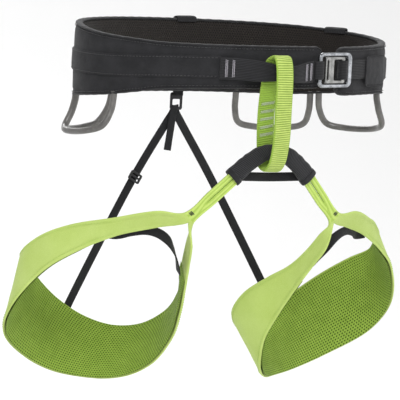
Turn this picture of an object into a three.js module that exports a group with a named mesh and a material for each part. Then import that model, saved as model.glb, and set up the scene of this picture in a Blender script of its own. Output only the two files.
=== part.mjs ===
// Climbing harness: padded waist belt, adjuster buckle, belay loop, leg-loop bridge, two leg
// loops, rear risers and four gear loops. Millimetres, +Z up, the wearer faces -Y, and the
// wearer's left is +X. The origin is the middle of the waist opening.
import * as THREE from "three";

// ---- driving dimensions ----
const GAP = 0.3; // space left between pieces that touch on the real harness
const WAIST_HALF_X = 170; // half width of the belt's outer face, side to side
const WAIST_HALF_Y = 98; // half depth of the belt's outer face, front to back
const WAIST_BACK_SHIFT = 8; // the belt's middle lies this far behind the origin
const SHELL_THICK = 1.4;
const FOAM_THICK = 3.6;
const LINING_THICK = 1.4;
const BELT_END_LEFT = 296; // the belt's two ends, in degrees around the waist
const BELT_END_RIGHT = 648; // 270 or 630 degrees is the wearer's front
const BELT_GRID = 8; // degrees between the belt's outlines
const BAND_START = 328; // the load band on the belt's outside
const BAND_END = 608;
const BAND_HALF_HEIGHT = 11;
const WEBBING_THICK = 1.6;
const TIE_IN = [0, -105, -4]; // centre of the waist tie-in webbing, where the belay loop hangs
const ARCH_END = [44, -84, -111]; // where a leg loop's strap leaves the bridge
const STRAP_FORK = [83, -71, -151]; // where that strap forks round the thigh
const STRAP_LAYER = 7.1; // visible height of one of its two layers
const LEG_LAYERS = {
  // millimetres out of the band's middle surface
  patch: [2.6, 3.4], shell: [1.1, 2.1], core: [-0.4, 0.4], lining: [-2, -1],
};
const RISER_HOOK = [0, 112, -47]; // pivot of the rear risers
const RISER_FOOT = [121, 101, -257]; // where a riser reaches its leg loop
const RISER_WIDTH = 9;
const GEAR_TUBE_RADIUS = 3.4;
const GEAR_BORE_RADIUS = 2.1;
const GEAR_CORD_RADIUS = 1.5;
const GEAR_START = 5.5; // the loops start this far under the belt's edge
const GEAR_DROP = 32;
const GEAR_FLARE = 9;
const BUCKLE_ANGLE = 291.5; // place of the buckle around the waist
const BUCKLE_STAND_OFF = 7.2;
const BUCKLE_LEVEL = -1;
const BUCKLE_LENGTH = 45;
const BUCKLE_HEIGHT = 35;
const BUCKLE_PLATE = 2.4;

// Belt edges: [degrees, top, bottom]
const BELT_EDGES = [
  [288, 19, -26], [320, 19, -26], [341, 20, -28], [380, 25, -33], [410, 29, -38],
  [450, 32, -38], [490, 34, -38], [521, 33, -37], [556, 26, -32], [574, 23, -26.8],
  [590, 20.8, -21.5], [630, 20.2, -18.5], [660, 19.8, -18],
];

// Leg loop, wearer's left: the band's upper and lower edge at each station, from the outer
// thigh round the back to the inner thigh.
const LEG_STATIONS = [
  [[113, -62, -145], [109, -55, -158]],
  [[149, -31, -155], [145, -31, -174]],
  [[175, 2, -165], [174, -13, -190]],
  [[193, 28, -178], [200, 6, -211]],
  [[200, 52, -195], [219, 35, -250]],
  [[188, 70, -206], [212, 62, -280]],
  [[166, 88, -224], [175, 84, -307]],
  [[135, 98, -248], [140, 88, -322]],
  [[106, 92, -266], [112, 78, -327]],
  [[78, 80, -274.5], [92, 60, -326.5]],
  [[55, 62, -271], [76, 41, -320]],
  [[38, 42, -255], [63, 22, -306]],
  [[38, 20, -235], [55, 2, -280]],
  [[50, -5, -217], [58, -17, -254]],
  [[63, -25, -203], [65, -37, -226]],
  [[71, -43, -186], [72, -54, -203]],
  [[76, -58, -169], [79, -70, -180]],
];
const LEG_STEPS = 66; // three for each stretch between stations
const LINING_SPAN = [14, 52]; // steps of the leg band that carry the mesh lining
const RISER_TAB_SPAN = [31, 32];
const FORK_TACK_SPAN = [5, 6];
const ELASTIC_PATH = [
  [138, -25, -172], [128, -36, -168], [116, -44.5, -166], [105, -49.5, -168.5],
  [95, -51, -175], [86, -49, -186], [78, -43, -198],
];
const BELAY_PATH = [
  [-7, -105, 12.5], [-8, -112, 9], [-8, -115.5, -4], [-8, -116, -40], [-5, -110, -72], [-3, -100, -94],
  [-3, -90, -101.5], [-4, -79.5, -96.5], [-4, -77, -79], [-9, -84, -50], [-13, -93, -24],
  [-13, -96.5, -6], [-10, -98, 8],
];
const BELAY_WIDTH = 19;
const BELAY_THICK = 3;
const BELAY_TACK_LEVELS = [-34, -42, -50, -58, -66];
const ARCH_PATH = [
  [-42.5, -84.2, -108.5], [-37, -85, -103], [-26, -86.5, -93.5], [-13, -88, -85.5], [0, -88.5, -82.5],
  [13, -88, -85.5], [26, -86.5, -93.5], [37, -85, -103], [42.5, -84.2, -108.5],
];

// ---- finishes ----
const BLACK = 0x262628;
const MESH_BLACK = 0x2c2926;
const LIME = 0xb6dc3a;
const MESH_GREEN = 0x79a83a;
const GREY = 0x85837f;
const SILVER = 0xb9bbbd;
const STITCH = 0xd6d8d2;

const harness = new THREE.Group();

function addPiece(name, geometry, color, roughness = 0.85, metalness = 0) {
  const material = new THREE.MeshStandardMaterial({ color, roughness, metalness });
  const mesh = new THREE.Mesh(geometry, material);
  mesh.name = name;
  harness.add(mesh);
  return mesh;
}

const UP = new THREE.Vector3(0, 0, 1);
const point = ([x, y, z]) => new THREE.Vector3(x, y, z);
const mirror = ([x, y, z]) => [-x, y, z];

// ---- geometry helpers ----

// A closed solid through a row of outlines with equal point counts. A closed row joins its
// last outline to its first; an open row gets flat ends.
function loft(outlines, closed = false) {
  const count = outlines[0].length;
  const positions = outlines.flat().flatMap((p) => [p.x, p.y, p.z]);
  const faces = [];
  const rows = closed ? outlines.length : outlines.length - 1;
  for (let row = 0; row < rows; row += 1) {
    const next = (row + 1) % outlines.length;
    for (let k = 0; k < count; k += 1) {
      const l = (k + 1) % count;
      const [a, b, c, d] = [row * count + k, row * count + l, next * count + k, next * count + l];
      // Both broad faces of a strap split along the same diagonal, so layers lie parallel.
      if (k < count / 2) faces.push([a, c, b], [b, c, d]);
      else faces.push([a, c, d], [a, d, b]);
    }
  }
  if (!closed) {
    const last = (outlines.length - 1) * count;
    for (let k = 1; k < count - 1; k += 1) {
      faces.push([0, k, k + 1], [last, last + k + 1, last + k]);
    }
  }
  return facingOut(positions, faces);
}

// Turns every face over when the solid's signed volume is negative.
function facingOut(positions, faces) {
  const corner = (i) => new THREE.Vector3().fromArray(positions, 3 * i);
  const volume = faces.reduce(
    (sum, [a, b, c]) => sum + corner(a).dot(corner(b).cross(corner(c))), 0);
  const index = faces.flatMap(([a, b, c]) => (volume < 0 ? [a, c, b] : [a, b, c]));
  const geometry = new THREE.BufferGeometry();
  geometry.setAttribute("position", new THREE.Float32BufferAttribute(positions, 3));
  geometry.setIndex(index);
  return geometry;
}

function smoothPath(points, closed = false) {
  return new THREE.CatmullRomCurve3(points.map(point), closed, "centripetal");
}

// A flat strap along a curve. Its width lies along widthAt(place on the curve), its
// thickness across both.
function strap(curve, steps, width, thickness, widthAt, closed = false) {
  const outlines = [];
  const rows = closed ? steps : steps + 1;
  for (let i = 0; i < rows; i += 1) {
    const t = i / steps;
    const centre = curve.getPointAt(t);
    const along = curve.getTangentAt(t);
    const across = widthAt(t).clone();
    across.addScaledVector(along, -across.dot(along)).normalize();
    const out = new THREE.Vector3().crossVectors(along, across).normalize();
    outlines.push(rectangle(centre, across, out, width / 2, thickness / 2));
  }
  return loft(outlines, closed);
}

function rectangle(centre, across, out, halfWidth, halfThick) {
  const place = (a, b) => centre.clone().addScaledVector(across, a).addScaledVector(out, b);
  return [
    place(halfWidth, halfThick), place(-halfWidth, halfThick),
    place(-halfWidth, -halfThick), place(halfWidth, -halfThick),
  ];
}

// A box with its length, height and depth along three given directions.
function plate(centre, along, up, size) {
  const out = new THREE.Vector3().crossVectors(along, up).normalize();
  const near = centre.clone().addScaledVector(along, -size[0] / 2);
  const far = centre.clone().addScaledVector(along, size[0] / 2);
  return loft([near, far].map((c) => rectangle(c, up, out, size[1] / 2, size[2] / 2)));
}

// ---- waist belt ----

function beltNormal(degrees) {
  const t = THREE.MathUtils.degToRad(degrees);
  return new THREE.Vector3(
    Math.cos(t) / WAIST_HALF_X, Math.sin(t) / WAIST_HALF_Y, 0).normalize();
}

// A place on the belt: degrees round the waist, millimetres out of its outer face, height.
function beltPlace(degrees, outward, z) {
  const t = THREE.MathUtils.degToRad(degrees);
  const onFace = new THREE.Vector3(
    WAIST_HALF_X * Math.cos(t), WAIST_BACK_SHIFT + WAIST_HALF_Y * Math.sin(t), z);
  return onFace.addScaledVector(beltNormal(degrees), outward);
}

const topEdge = new THREE.SplineCurve(BELT_EDGES.map(([d, top]) => new THREE.Vector2(d, top)));
const bottomEdge = new THREE.SplineCurve(
  BELT_EDGES.map(([d, , bottom]) => new THREE.Vector2(d, bottom)));

// Height of an edge spline at an angle, found by halving.
function heightAt(edge, degrees) {
  let low = 0;
  let high = 1;
  for (let i = 0; i < 24; i += 1) {
    const middle = (low + high) / 2;
    if (edge.getPoint(middle).x < degrees) low = middle;
    else high = middle;
  }
  return edge.getPoint(low).y;
}

// The angles of a strip's outlines. Strips share one grid, so that their facets lie parallel.
function beltAngles(from, to) {
  const angles = [from];
  for (let d = Math.ceil(from / BELT_GRID) * BELT_GRID; d < to; d += BELT_GRID) {
    if (d - from > 0.5 && to - d > 0.5) angles.push(d);
  }
  return [...angles, to];
}

// A strip of the belt between two angles, two offsets and two heights given per angle.
function beltStrip(from, to, inner, outer, lowAt, highAt) {
  const outlines = [];
  for (const degrees of beltAngles(from, to)) {
    const low = lowAt(degrees);
    const high = highAt(degrees);
    outlines.push([
      beltPlace(degrees, outer, high), beltPlace(degrees, outer, low),
      beltPlace(degrees, inner, low), beltPlace(degrees, inner, high),
    ]);
  }
  return loft(outlines);
}

const beltTop = (degrees) => heightAt(topEdge, degrees);
const beltBottom = (degrees) => heightAt(bottomEdge, degrees);
const beltMiddle = (degrees) => (beltTop(degrees) + beltBottom(degrees)) / 2;
const foamOuter = -SHELL_THICK - GAP;
const foamInner = foamOuter - FOAM_THICK;
const liningOuter = foamInner - GAP;
const liningInner = liningOuter - LINING_THICK;

function waistBelt() {
  const strip = (inner, outer, trim) => beltStrip(
    BELT_END_LEFT, BELT_END_RIGHT, inner, outer,
    (d) => beltBottom(d) + trim, (d) => beltTop(d) - trim);
  addPiece("waist_shell", strip(-SHELL_THICK, 0, 0), BLACK);
  addPiece("waist_foam_core", strip(foamInner, foamOuter, 1), BLACK);
  addPiece("waist_mesh_lining", strip(liningInner, liningOuter, 0), MESH_BLACK);
  const binding = (edge, side) => beltStrip(
    BELT_END_LEFT, BELT_END_RIGHT, liningInner, 0,
    (d) => edge(d) + Math.min(side * GAP, side * 2.3),
    (d) => edge(d) + Math.max(side * GAP, side * 2.3));
  addPiece("waist_binding_top", binding(beltTop, 1), BLACK);
  addPiece("waist_binding_bottom", binding(beltBottom, -1), BLACK);
  const load = beltStrip(
    BAND_START, BAND_END, GAP, GAP + WEBBING_THICK,
    (d) => beltMiddle(d) - BAND_HALF_HEIGHT, (d) => beltMiddle(d) + BAND_HALF_HEIGHT);
  addPiece("waist_load_band", load, BLACK);
}

// Small tape tabs folded over the belt's top edge at the back.
function topTabs() {
  [["rear", 450], ["left", 388]].forEach(([side, degrees]) => {
    const tab = beltStrip(
      degrees - 4, degrees + 4, liningInner, 0,
      (d) => beltTop(d) + 2.3 + GAP, (d) => beltTop(d) + 4.4);
    addPiece(`waist_top_tab_${side}`, tab, BLACK);
  });
}

// ---- tie-in webbing at the belt's front, which carries rope and belay loop ----

function tieInWebbing() {
  const path = smoothPath([
    [-66, -86.9, -0.5], [-52, -90.2, -0.5], [-34, -97.5, -1.5], [-16, -103.6, -3], TIE_IN,
    [13, -103.6, -4], [25, -99.4, -3], [35.5, -96.2, -2],
  ]);
  // The webbing bunches up where the belay loop hangs.
  const pinch = (x) => Math.exp(-((x / 20) ** 2));
  const halfThick = (x) => 0.9 + 1.6 * pinch(x);
  const steps = 22;
  const outlines = [];
  for (let i = 0; i <= steps; i += 1) {
    const t = i / steps;
    const centre = path.getPointAt(t);
    const out = path.getTangentAt(t).cross(UP).normalize();
    outlines.push(rectangle(centre, UP, out, 11 - 3.6 * pinch(centre.x), halfThick(centre.x)));
  }
  addPiece("tie_in_webbing", loft(outlines), BLACK);
  // Bar tacks: two near each end of the webbing.
  [0.06, 0.13, 0.9, 0.96].forEach((t, i) => {
    const centre = path.getPointAt(t);
    const along = path.getTangentAt(t);
    const out = along.clone().cross(UP).normalize();
    centre.addScaledVector(out, halfThick(centre.x) + GAP + 0.4);
    const tack = plate(centre, along, UP, [2.6, 17, 0.6]);
    addPiece(`tie_in_bartack_${i + 1}`, tack, STITCH);
  });
}

// ---- buckle, on a plate tangent to the belt ----

const buckleCentre = beltPlace(BUCKLE_ANGLE, BUCKLE_STAND_OFF, BUCKLE_LEVEL);
const buckleOut = beltNormal(BUCKLE_ANGLE);
const buckleAlong = new THREE.Vector3(-buckleOut.y, buckleOut.x, 0);

// A place by the buckle: along the strap (towards the wearer's left) and outward.
function buckleLocal(along, outward) {
  return buckleCentre.clone().addScaledVector(buckleAlong, along)
    .addScaledVector(buckleOut, outward);
}

function buckleMatrix() {
  const basis = new THREE.Matrix4().makeBasis(buckleAlong, UP, buckleOut);
  return basis.setPosition(buckleCentre);
}

// A plate with rectangular windows and rounded corners, drawn in the buckle's own plane.
function windowPlate(box, radius, windows, thickness) {
  const [x0, y0, x1, y1] = box;
  const shape = new THREE.Shape();
  shape.moveTo(x0 + radius, y0);
  shape.lineTo(x1 - radius, y0).absarc(x1 - radius, y0 + radius, radius, -Math.PI / 2, 0);
  shape.lineTo(x1, y1 - radius).absarc(x1 - radius, y1 - radius, radius, 0, Math.PI / 2);
  shape.lineTo(x0 + radius, y1).absarc(x0 + radius, y1 - radius, radius, Math.PI / 2, Math.PI);
  shape.lineTo(x0, y0 + radius);
  shape.absarc(x0 + radius, y0 + radius, radius, Math.PI, 1.5 * Math.PI);
  windows.forEach(([a, b, c, d]) => {
    const hole = new THREE.Path();
    hole.moveTo(a, b).lineTo(c, b).lineTo(c, d).lineTo(a, d).lineTo(a, b);
    shape.holes.push(hole);
  });
  const geometry = new THREE.ExtrudeGeometry(
    shape, { depth: thickness, bevelEnabled: false, curveSegments: 3 });
  return geometry.translate(0, 0, -thickness / 2);
}

const SLIDER_PIVOT = 10.8; // the bar that carries the strap's bight, along from the middle
const SLIDER_OUT = 0.2;

function buckle() {
  const halfLength = BUCKLE_LENGTH / 2;
  const halfHeight = BUCKLE_HEIGHT / 2;
  const frame = windowPlate(
    [-halfLength, -halfHeight, halfLength, halfHeight], 6, [[-18, -14.3, 16.6, 14.3]],
    BUCKLE_PLATE);
  addPiece("buckle_frame", frame.applyMatrix4(buckleMatrix()), SILVER, 0.3, 1);
  // The slider is a ladder plate inside the frame: two bars, and one that carries the strap.
  const slider = windowPlate(
    [-24.2, -13.4, 2.2, 13.4], 1.2, [[-22, -10, -20, 10.1], [-12.6, -10.4, -2.2, 10.5]], 2.2);
  slider.translate(SLIDER_PIVOT, 0, SLIDER_OUT);
  addPiece("buckle_slider", slider.applyMatrix4(buckleMatrix()), SILVER, 0.35, 1);
}

// A strap whose path is drawn in plan by buckle-local points and whose width stands upright.
function uprightStrap(path, steps, height, thickness, closed = false) {
  return strap(path, steps, height, thickness, () => UP, closed);
}

function planCurve(points, closed = false) {
  return new THREE.CatmullRomCurve3(points, closed, "centripetal");
}

function waistStrap() {
  const onBelt = (degrees, outward) => beltPlace(degrees, outward, BUCKLE_LEVEL);
  const near = buckleLocal;
  const path = planCurve([
    onBelt(324, 1.5), onBelt(316, 1.5), onBelt(308, 1.8), near(27, -5.4), near(20, -5.1),
    near(14, -5.1), near(10.6, -4.7), near(7.5, -3), near(6.8, 0.2), near(7.9, 3.1),
    near(10.8, 4.2), near(13.5, 3.1), near(14.6, 0.2), near(15.2, -1.8), near(17, -3.1),
    near(22, -3.2), near(27, -3.3), onBelt(308, 4), onBelt(315, 3.7), onBelt(322, 3.7),
  ]);
  addPiece("waist_strap", uprightStrap(path, 60, 19, 1.5), BLACK);
  // Cover sewn over the strap where it enters the belt.
  const cover = beltStrip(
    310, 327, 5, 6.2, (d) => beltMiddle(d) - 15.5, (d) => beltMiddle(d) + 15.5);
  addPiece("strap_sleeve", cover, BLACK);
  // Webbing loop that ties the buckle's fixed bar to the tie-in webbing.
  const loop = planCurve([
    buckleLocal(-26.6, 0), buckleLocal(-24.2, -2.6), buckleLocal(-18.2, -2.6),
    buckleLocal(-16.1, 0), buckleLocal(-18.2, 2.6), buckleLocal(-24.2, 2.6),
  ], true);
  addPiece("buckle_anchor_webbing", uprightStrap(loop, 24, 18, 1.4, true), BLACK);
}

// ---- belay loop ----

function belayLoop() {
  const path = smoothPath(BELAY_PATH, true);
  const width = () => new THREE.Vector3(1, 0, 0);
  addPiece("belay_loop", strap(path, 44, BELAY_WIDTH, BELAY_THICK, width, true), LIME);
  BELAY_TACK_LEVELS.forEach((z, i) => {
    const t = rearStrandPlace(path, z);
    const centre = path.getPointAt(t);
    const along = path.getTangentAt(t);
    const across = new THREE.Vector3(1, 0, 0).addScaledVector(along, -along.x).normalize();
    const front = new THREE.Vector3().crossVectors(along, across).normalize();
    if (front.y > 0) front.negate();
    centre.addScaledVector(front, BELAY_THICK / 2 + GAP + 0.35);
    addPiece(`belay_bartack_${i + 1}`, plate(centre, along, across, [2.4, 15, 0.6]), STITCH);
  });
}

// Where the belay loop's rear strand passes a height.
function rearStrandPlace(path, z) {
  let best = 0.5;
  for (let t = 0.5; t < 1; t += 0.002) {
    if (Math.abs(path.getPointAt(t).z - z) < Math.abs(path.getPointAt(best).z - z)) best = t;
  }
  return best;
}

// ---- leg-loop bridge: abrasion sleeve over the joined straps, and the spacer strap ----

function legBridge() {
  const path = smoothPath(ARCH_PATH);
  const steps = 20;
  const outlines = [];
  for (let i = 0; i <= steps; i += 1) {
    const t = i / steps;
    const centre = path.getPointAt(t);
    const along = path.getTangentAt(t);
    const front = new THREE.Vector3(0, -1, 0).addScaledVector(along, along.y).normalize();
    const side = new THREE.Vector3().crossVectors(along, front).normalize();
    const middle = Math.exp(-((centre.x / 14) ** 2));
    const halfSide = 8.4 - 1.6 * middle;
    const halfDepth = 4.6 - 0.4 * middle;
    outlines.push(oval(centre, side, front, halfSide, halfDepth, 10));
  }
  addPiece("bridge_sleeve", loft(outlines), BLACK);
  [["left", 1], ["right", 0]].forEach(([side, t]) => {
    const along = path.getTangentAt(t).multiplyScalar(t ? 1 : -1);
    const front = new THREE.Vector3(0, -1, 0).addScaledVector(along, along.y).normalize();
    const across = new THREE.Vector3().crossVectors(along, front).normalize();
    const ring = [[GAP, 8.6, 5], [1.4, 9, 5.4], [2.5, 8.6, 5]].map(([step, a, b]) => oval(
      path.getPointAt(t).addScaledVector(along, step), across, front, a, b, 10));
    addPiece(`bridge_cuff_${side}`, loft(ring), BLACK);
  });
  // The spacer strap ties the two arms of the sleeve, below the belay loop's bight.
  const spacer = smoothPath([[-27, -78, -109], [-14, -76.5, -110], [0, -76, -110.4],
    [14, -76.5, -110], [27, -78, -109]]);
  addPiece("bridge_spacer_strap", strap(spacer, 10, 9, 1.6, () => UP), BLACK);
}

function oval(centre, a, b, halfA, halfB, sides) {
  return Array.from({ length: sides }, (_, k) => {
    const turn = (2 * Math.PI * k) / sides;
    return centre.clone().addScaledVector(a, halfA * Math.cos(turn))
      .addScaledVector(b, halfB * Math.sin(turn));
  });
}

// ---- leg loops ----

const strapDirection = point(STRAP_FORK).sub(point(ARCH_END)).normalize();
const strapUp = new THREE.Vector3(-strapDirection.z, 0, strapDirection.x).normalize();

// The band's two edges at three places along one layer of the strap from bridge to fork.
function strapLayer(near, far) {
  const start = point(ARCH_END).addScaledVector(strapDirection, 3);
  return [0, 0.5, 1].map((share) => {
    const place = start.clone().lerp(point(STRAP_FORK), share);
    return [far, near].map((height) => place.clone().addScaledVector(strapUp, height));
  });
}

function legEdges() {
  const outerLayer = strapLayer(1.5, STRAP_LAYER);
  const innerLayer = strapLayer(-1.5, -STRAP_LAYER).reverse();
  const band = LEG_STATIONS.map((pair) => pair.map(point));
  const stations = [...outerLayer, ...band, ...innerLayer];
  const curve = (k) => new THREE.CatmullRomCurve3(
    stations.map((pair) => pair[k]), false, "centripetal");
  return { upper: curve(0), lower: curve(1) };
}

// A piece of the leg band between two of its steps, in one layer. reach is the part of the
// band's width that it covers, from 0 at the upper edge to 1 at the lower.
function legBand(edges, side, layer, first, last, reach = [0, 1]) {
  const outlines = [];
  for (let i = first; i <= last; i += 1) {
    const t = i / LEG_STEPS;
    const upper = edges.upper.getPoint(t);
    const lower = edges.lower.getPoint(t);
    const ahead = edges.upper.getPoint(Math.min(t + 0.004, 1));
    ahead.add(edges.lower.getPoint(Math.min(t + 0.004, 1)));
    const behind = edges.upper.getPoint(Math.max(t - 0.004, 0));
    behind.add(edges.lower.getPoint(Math.max(t - 0.004, 0)));
    const along = ahead.sub(behind).normalize();
    const across = upper.clone().sub(lower).normalize();
    const out = new THREE.Vector3().crossVectors(along, across).normalize();
    const place = (share, offset) => {
      const q = upper.clone().lerp(lower, share).addScaledVector(out, offset);
      q.x *= side;
      return q;
    };
    outlines.push([
      place(reach[0], layer[1]), place(reach[1], layer[1]),
      place(reach[1], layer[0]), place(reach[0], layer[0]),
    ]);
  }
  return loft(outlines);
}

function legLoop(name, side) {
  const edges = legEdges();
  const sided = (p) => (side > 0 ? p : mirror(p));
  const piece = (part, layer, span, color, reach) => addPiece(
    `${name}_${part}`, legBand(edges, side, layer, ...span, reach), color);
  piece("shell", LEG_LAYERS.shell, [0, LEG_STEPS], LIME);
  piece("load_core", LEG_LAYERS.core, [0, LEG_STEPS], LIME);
  piece("mesh_lining", LEG_LAYERS.lining, LINING_SPAN, MESH_GREEN);
  piece("riser_tab", LEG_LAYERS.patch, RISER_TAB_SPAN, BLACK, [0.04, 0.36]);
  piece("fork_bartack", LEG_LAYERS.patch, FORK_TACK_SPAN, BLACK, [0.1, 0.9]);
  const elastic = smoothPath(ELASTIC_PATH.map(sided));
  const elasticWidth = () => new THREE.Vector3(0.35 * side, 0.1, 1);
  addPiece(`${name}_elastic`, strap(elastic, 14, 7.5, 1.4, elasticWidth), BLACK);
}

// ---- rear risers ----

function risers() {
  const hook = point(RISER_HOOK);
  // Hook: a flat plate ring that hangs from the belt's back and holds both risers.
  const ring = windowPlate([-7, -9, 7, 9], 2, [[-4.4, -6, 4.4, 2]], 1.8);
  ring.rotateX(Math.PI / 2);
  ring.translate(hook.x, hook.y, hook.z - 4);
  addPiece("riser_hook", ring, BLACK, 0.5);
  [["left", 1, hook.y + 4], ["right", -1, hook.y + 1.6]].forEach(([side, sign, depth]) => {
    const path = smoothPath([
      [sign * 2, depth, hook.z - 15], [sign * 9, depth, hook.z - 26],
      [sign * 45, depth - 2.5, -128], [sign * 117, 101.8, -253],
    ]);
    const width = () => new THREE.Vector3(1, 0, 0.57 * sign);
    addPiece(`riser_strap_${side}`, strap(path, 12, RISER_WIDTH, 1.4, width), BLACK);
  });
  const tail = smoothPath([
    [-3, hook.y - 0.8, hook.z - 15], [-5.5, hook.y - 1, hook.z - 34], [-8, hook.y - 1, hook.z - 54],
  ]);
  addPiece("riser_tail", strap(tail, 6, 8, 1.2, () => new THREE.Vector3(1, 0, 0)), BLACK);
  const lock = windowPlate([-7, -5, 7, 5], 1.5, [[-4.8, 1, 4.8, 3], [-4.8, -3, 4.8, -1]], 1.8);
  lock.rotateX(Math.PI / 2);
  lock.rotateY(0.52);
  lock.translate(-45, hook.y - 3.4, -128);
  addPiece("riser_ladder_lock", lock, BLACK, 0.5);
}

// Tape on the belt's back that the riser hook hangs from.
function riserAnchor() {
  const anchor = beltStrip(
    448, 452, 2.2, 3.6, (d) => beltBottom(d) - 3.2, (d) => beltBottom(d) + 16);
  addPiece("riser_anchor_tape", anchor, BLACK);
}

// ---- gear loops ----

const GEAR_SPANS = [
  ["gear_loop_rear_left", 399, 429], ["gear_loop_front_left", 352, 395],
  ["gear_loop_rear_right", 482, 517], ["gear_loop_front_right", 524, 564],
];

function gearLoop(name, from, to) {
  // A place on the loop: share of its width, millimetres outward, share of its drop.
  const place = (share, outward, fall) => {
    const edge = beltBottom(from) + (beltBottom(to) - beltBottom(from)) * share;
    return beltPlace(from + (to - from) * share, outward, edge - GEAR_START - fall * GEAR_DROP);
  };
  const halfPath = [
    [0, -3, 0], [0.01, 0, 0.4], [0.08, 0.7 * GEAR_FLARE, 0.85], [0.28, GEAR_FLARE, 1],
  ];
  const path = new THREE.CatmullRomCurve3([
    ...halfPath.map(([share, outward, fall]) => place(share, outward, fall)),
    ...halfPath.reverse().map(([share, outward, fall]) => place(1 - share, outward, fall)),
  ], false, "centripetal");
  const circle = (radius, sides) => Array.from({ length: sides }, (_, k) => new THREE.Vector2(
    radius * Math.cos((2 * Math.PI * k) / sides), radius * Math.sin((2 * Math.PI * k) / sides)));
  const settings = { steps: 14, extrudePath: path, bevelEnabled: false };
  const wall = new THREE.Shape(circle(GEAR_TUBE_RADIUS, 6));
  wall.holes.push(new THREE.Path(circle(GEAR_BORE_RADIUS, 6)));
  addPiece(name, new THREE.ExtrudeGeometry(wall, settings), GREY, 0.45);
  const cord = new THREE.Shape(circle(GEAR_CORD_RADIUS, 6));
  addPiece(`${name}_cord`, new THREE.ExtrudeGeometry(cord, settings), BLACK);
}

waistBelt();
topTabs();
tieInWebbing();
buckle();
waistStrap();
belayLoop();
legBridge();
legLoop("leg_left", 1);
legLoop("leg_right", -1);
risers();
riserAnchor();
GEAR_SPANS.forEach(([name, from, to]) => gearLoop(name, from, to));

export default harness;
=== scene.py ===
import bisect
import math

import bpy
from mathutils import Matrix, Vector, noise


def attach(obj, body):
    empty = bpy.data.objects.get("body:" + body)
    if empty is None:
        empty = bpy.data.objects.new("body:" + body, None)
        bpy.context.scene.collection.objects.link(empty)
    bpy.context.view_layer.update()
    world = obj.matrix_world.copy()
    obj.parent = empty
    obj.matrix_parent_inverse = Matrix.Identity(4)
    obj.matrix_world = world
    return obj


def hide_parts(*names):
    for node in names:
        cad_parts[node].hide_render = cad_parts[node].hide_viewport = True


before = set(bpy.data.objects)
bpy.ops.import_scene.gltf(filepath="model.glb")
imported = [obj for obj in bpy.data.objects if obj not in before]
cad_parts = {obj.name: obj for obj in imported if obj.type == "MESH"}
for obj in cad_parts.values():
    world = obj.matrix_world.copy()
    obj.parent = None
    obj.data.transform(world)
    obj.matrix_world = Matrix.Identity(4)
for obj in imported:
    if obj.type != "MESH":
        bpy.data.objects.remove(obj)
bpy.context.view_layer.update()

MM = 0.001

# ---- the CAD model's own dimensions ----
WAIST_HALF_X = 170
WAIST_HALF_Y = 98
WAIST_BACK_SHIFT = 8
REAR = 450  # degrees round the belt, from the wearer's left; the front is at 270
BELT_END_LEFT = 296
BELT_END_RIGHT = 648
BELT_EDGES = [
    (288, 19, -26), (320, 19, -26), (341, 20, -28), (380, 25, -33), (410, 29, -38),
    (450, 32, -38), (490, 34, -38), (521, 33, -37), (556, 26, -32), (574, 23, -26.8),
    (590, 20.8, -21.5), (630, 20.2, -18.5), (660, 19.8, -18),
]
BAND_START = 328
BAND_END = 608
BAND_HALF_HEIGHT = 11
ARCH_END = Vector((44, -84, -111))
STRAP_FORK = Vector((83, -71, -151))
STRAP_LAYER = 7.1
LEG_STATIONS = [
    ((113, -62, -145), (109, -55, -158)),
    ((149, -31, -155), (145, -31, -174)),
    ((175, 2, -165), (174, -13, -190)),
    ((193, 28, -178), (200, 6, -211)),
    ((200, 52, -195), (219, 35, -250)),
    ((188, 70, -206), (212, 62, -280)),
    ((166, 88, -224), (175, 84, -307)),
    ((135, 98, -248), (140, 88, -322)),
    ((106, 92, -266), (112, 78, -327)),
    ((78, 80, -274.5), (92, 60, -326.5)),
    ((55, 62, -271), (76, 41, -320)),
    ((38, 42, -255), (63, 22, -306)),
    ((38, 20, -235), (55, 2, -280)),
    ((50, -5, -217), (58, -17, -254)),
    ((63, -25, -203), (65, -37, -226)),
    ((71, -43, -186), (72, -54, -203)),
    ((76, -58, -169), (79, -70, -180)),
]
LEG_STEPS = 66
LINING_SPAN = (14, 52)
ELASTIC_PATH = [
    (138, -25, -172), (128, -36, -168), (116, -44.5, -166), (105, -49.5, -168.5),
    (95, -51, -175), (86, -49, -186), (78, -43, -198),
]
ELASTIC_VISIBLE = [(149, -23, -171)] + ELASTIC_PATH + [(72, -36, -209)]
BELAY_PATH = [
    (-7, -105, 12.5), (-8, -112, 9), (-8, -115.5, -4), (-8, -116, -40), (-5, -110, -72),
    (-3, -100, -94), (-3, -90, -101.5), (-4, -79.5, -96.5), (-4, -77, -79), (-9, -84, -50),
    (-13, -93, -24), (-13, -96.5, -6), (-10, -98, 8),
]
BELAY_TACK_LEVELS = [-34, -42, -50, -58, -66]
ARCH_PATH = [
    (-42.5, -84.2, -108.5), (-37, -85, -103), (-26, -86.5, -93.5), (-13, -88, -85.5),
    (0, -88.5, -82.5), (13, -88, -85.5), (26, -86.5, -93.5), (37, -85, -103),
    (42.5, -84.2, -108.5),
]
TIE_IN_PATH = [
    (-66, -86.9, -0.5), (-52, -90.2, -0.5), (-34, -97.5, -1.5), (-16, -103.6, -3),
    (0, -105, -4), (13, -103.6, -4), (25, -99.4, -3), (35.5, -96.2, -2),
]
RISER_HOOK = Vector((0, 112, -47))
GEAR_START = 5.5
GEAR_DROP = 32
GEAR_FLARE = 9
GEAR_SPANS = {
    "gear_loop_rear_left": (399, 429), "gear_loop_front_left": (352, 395),
    "gear_loop_rear_right": (482, 517), "gear_loop_front_right": (524, 564),
}
BUCKLE_ANGLE = 291.5
BUCKLE_STAND_OFF = 7.2
BUCKLE_LEVEL = -1
UP = Vector((0, 0, 1))
LEFT = Vector((1, 0, 0))
BACK = Vector((0, 1, 0))
STRAP_HALF = 9.5  # half the width of the waist strap and of the belay loop
BACK_WEAVE = 1000  # moves the weave of a piece's inner side away from its outer side's
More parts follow.
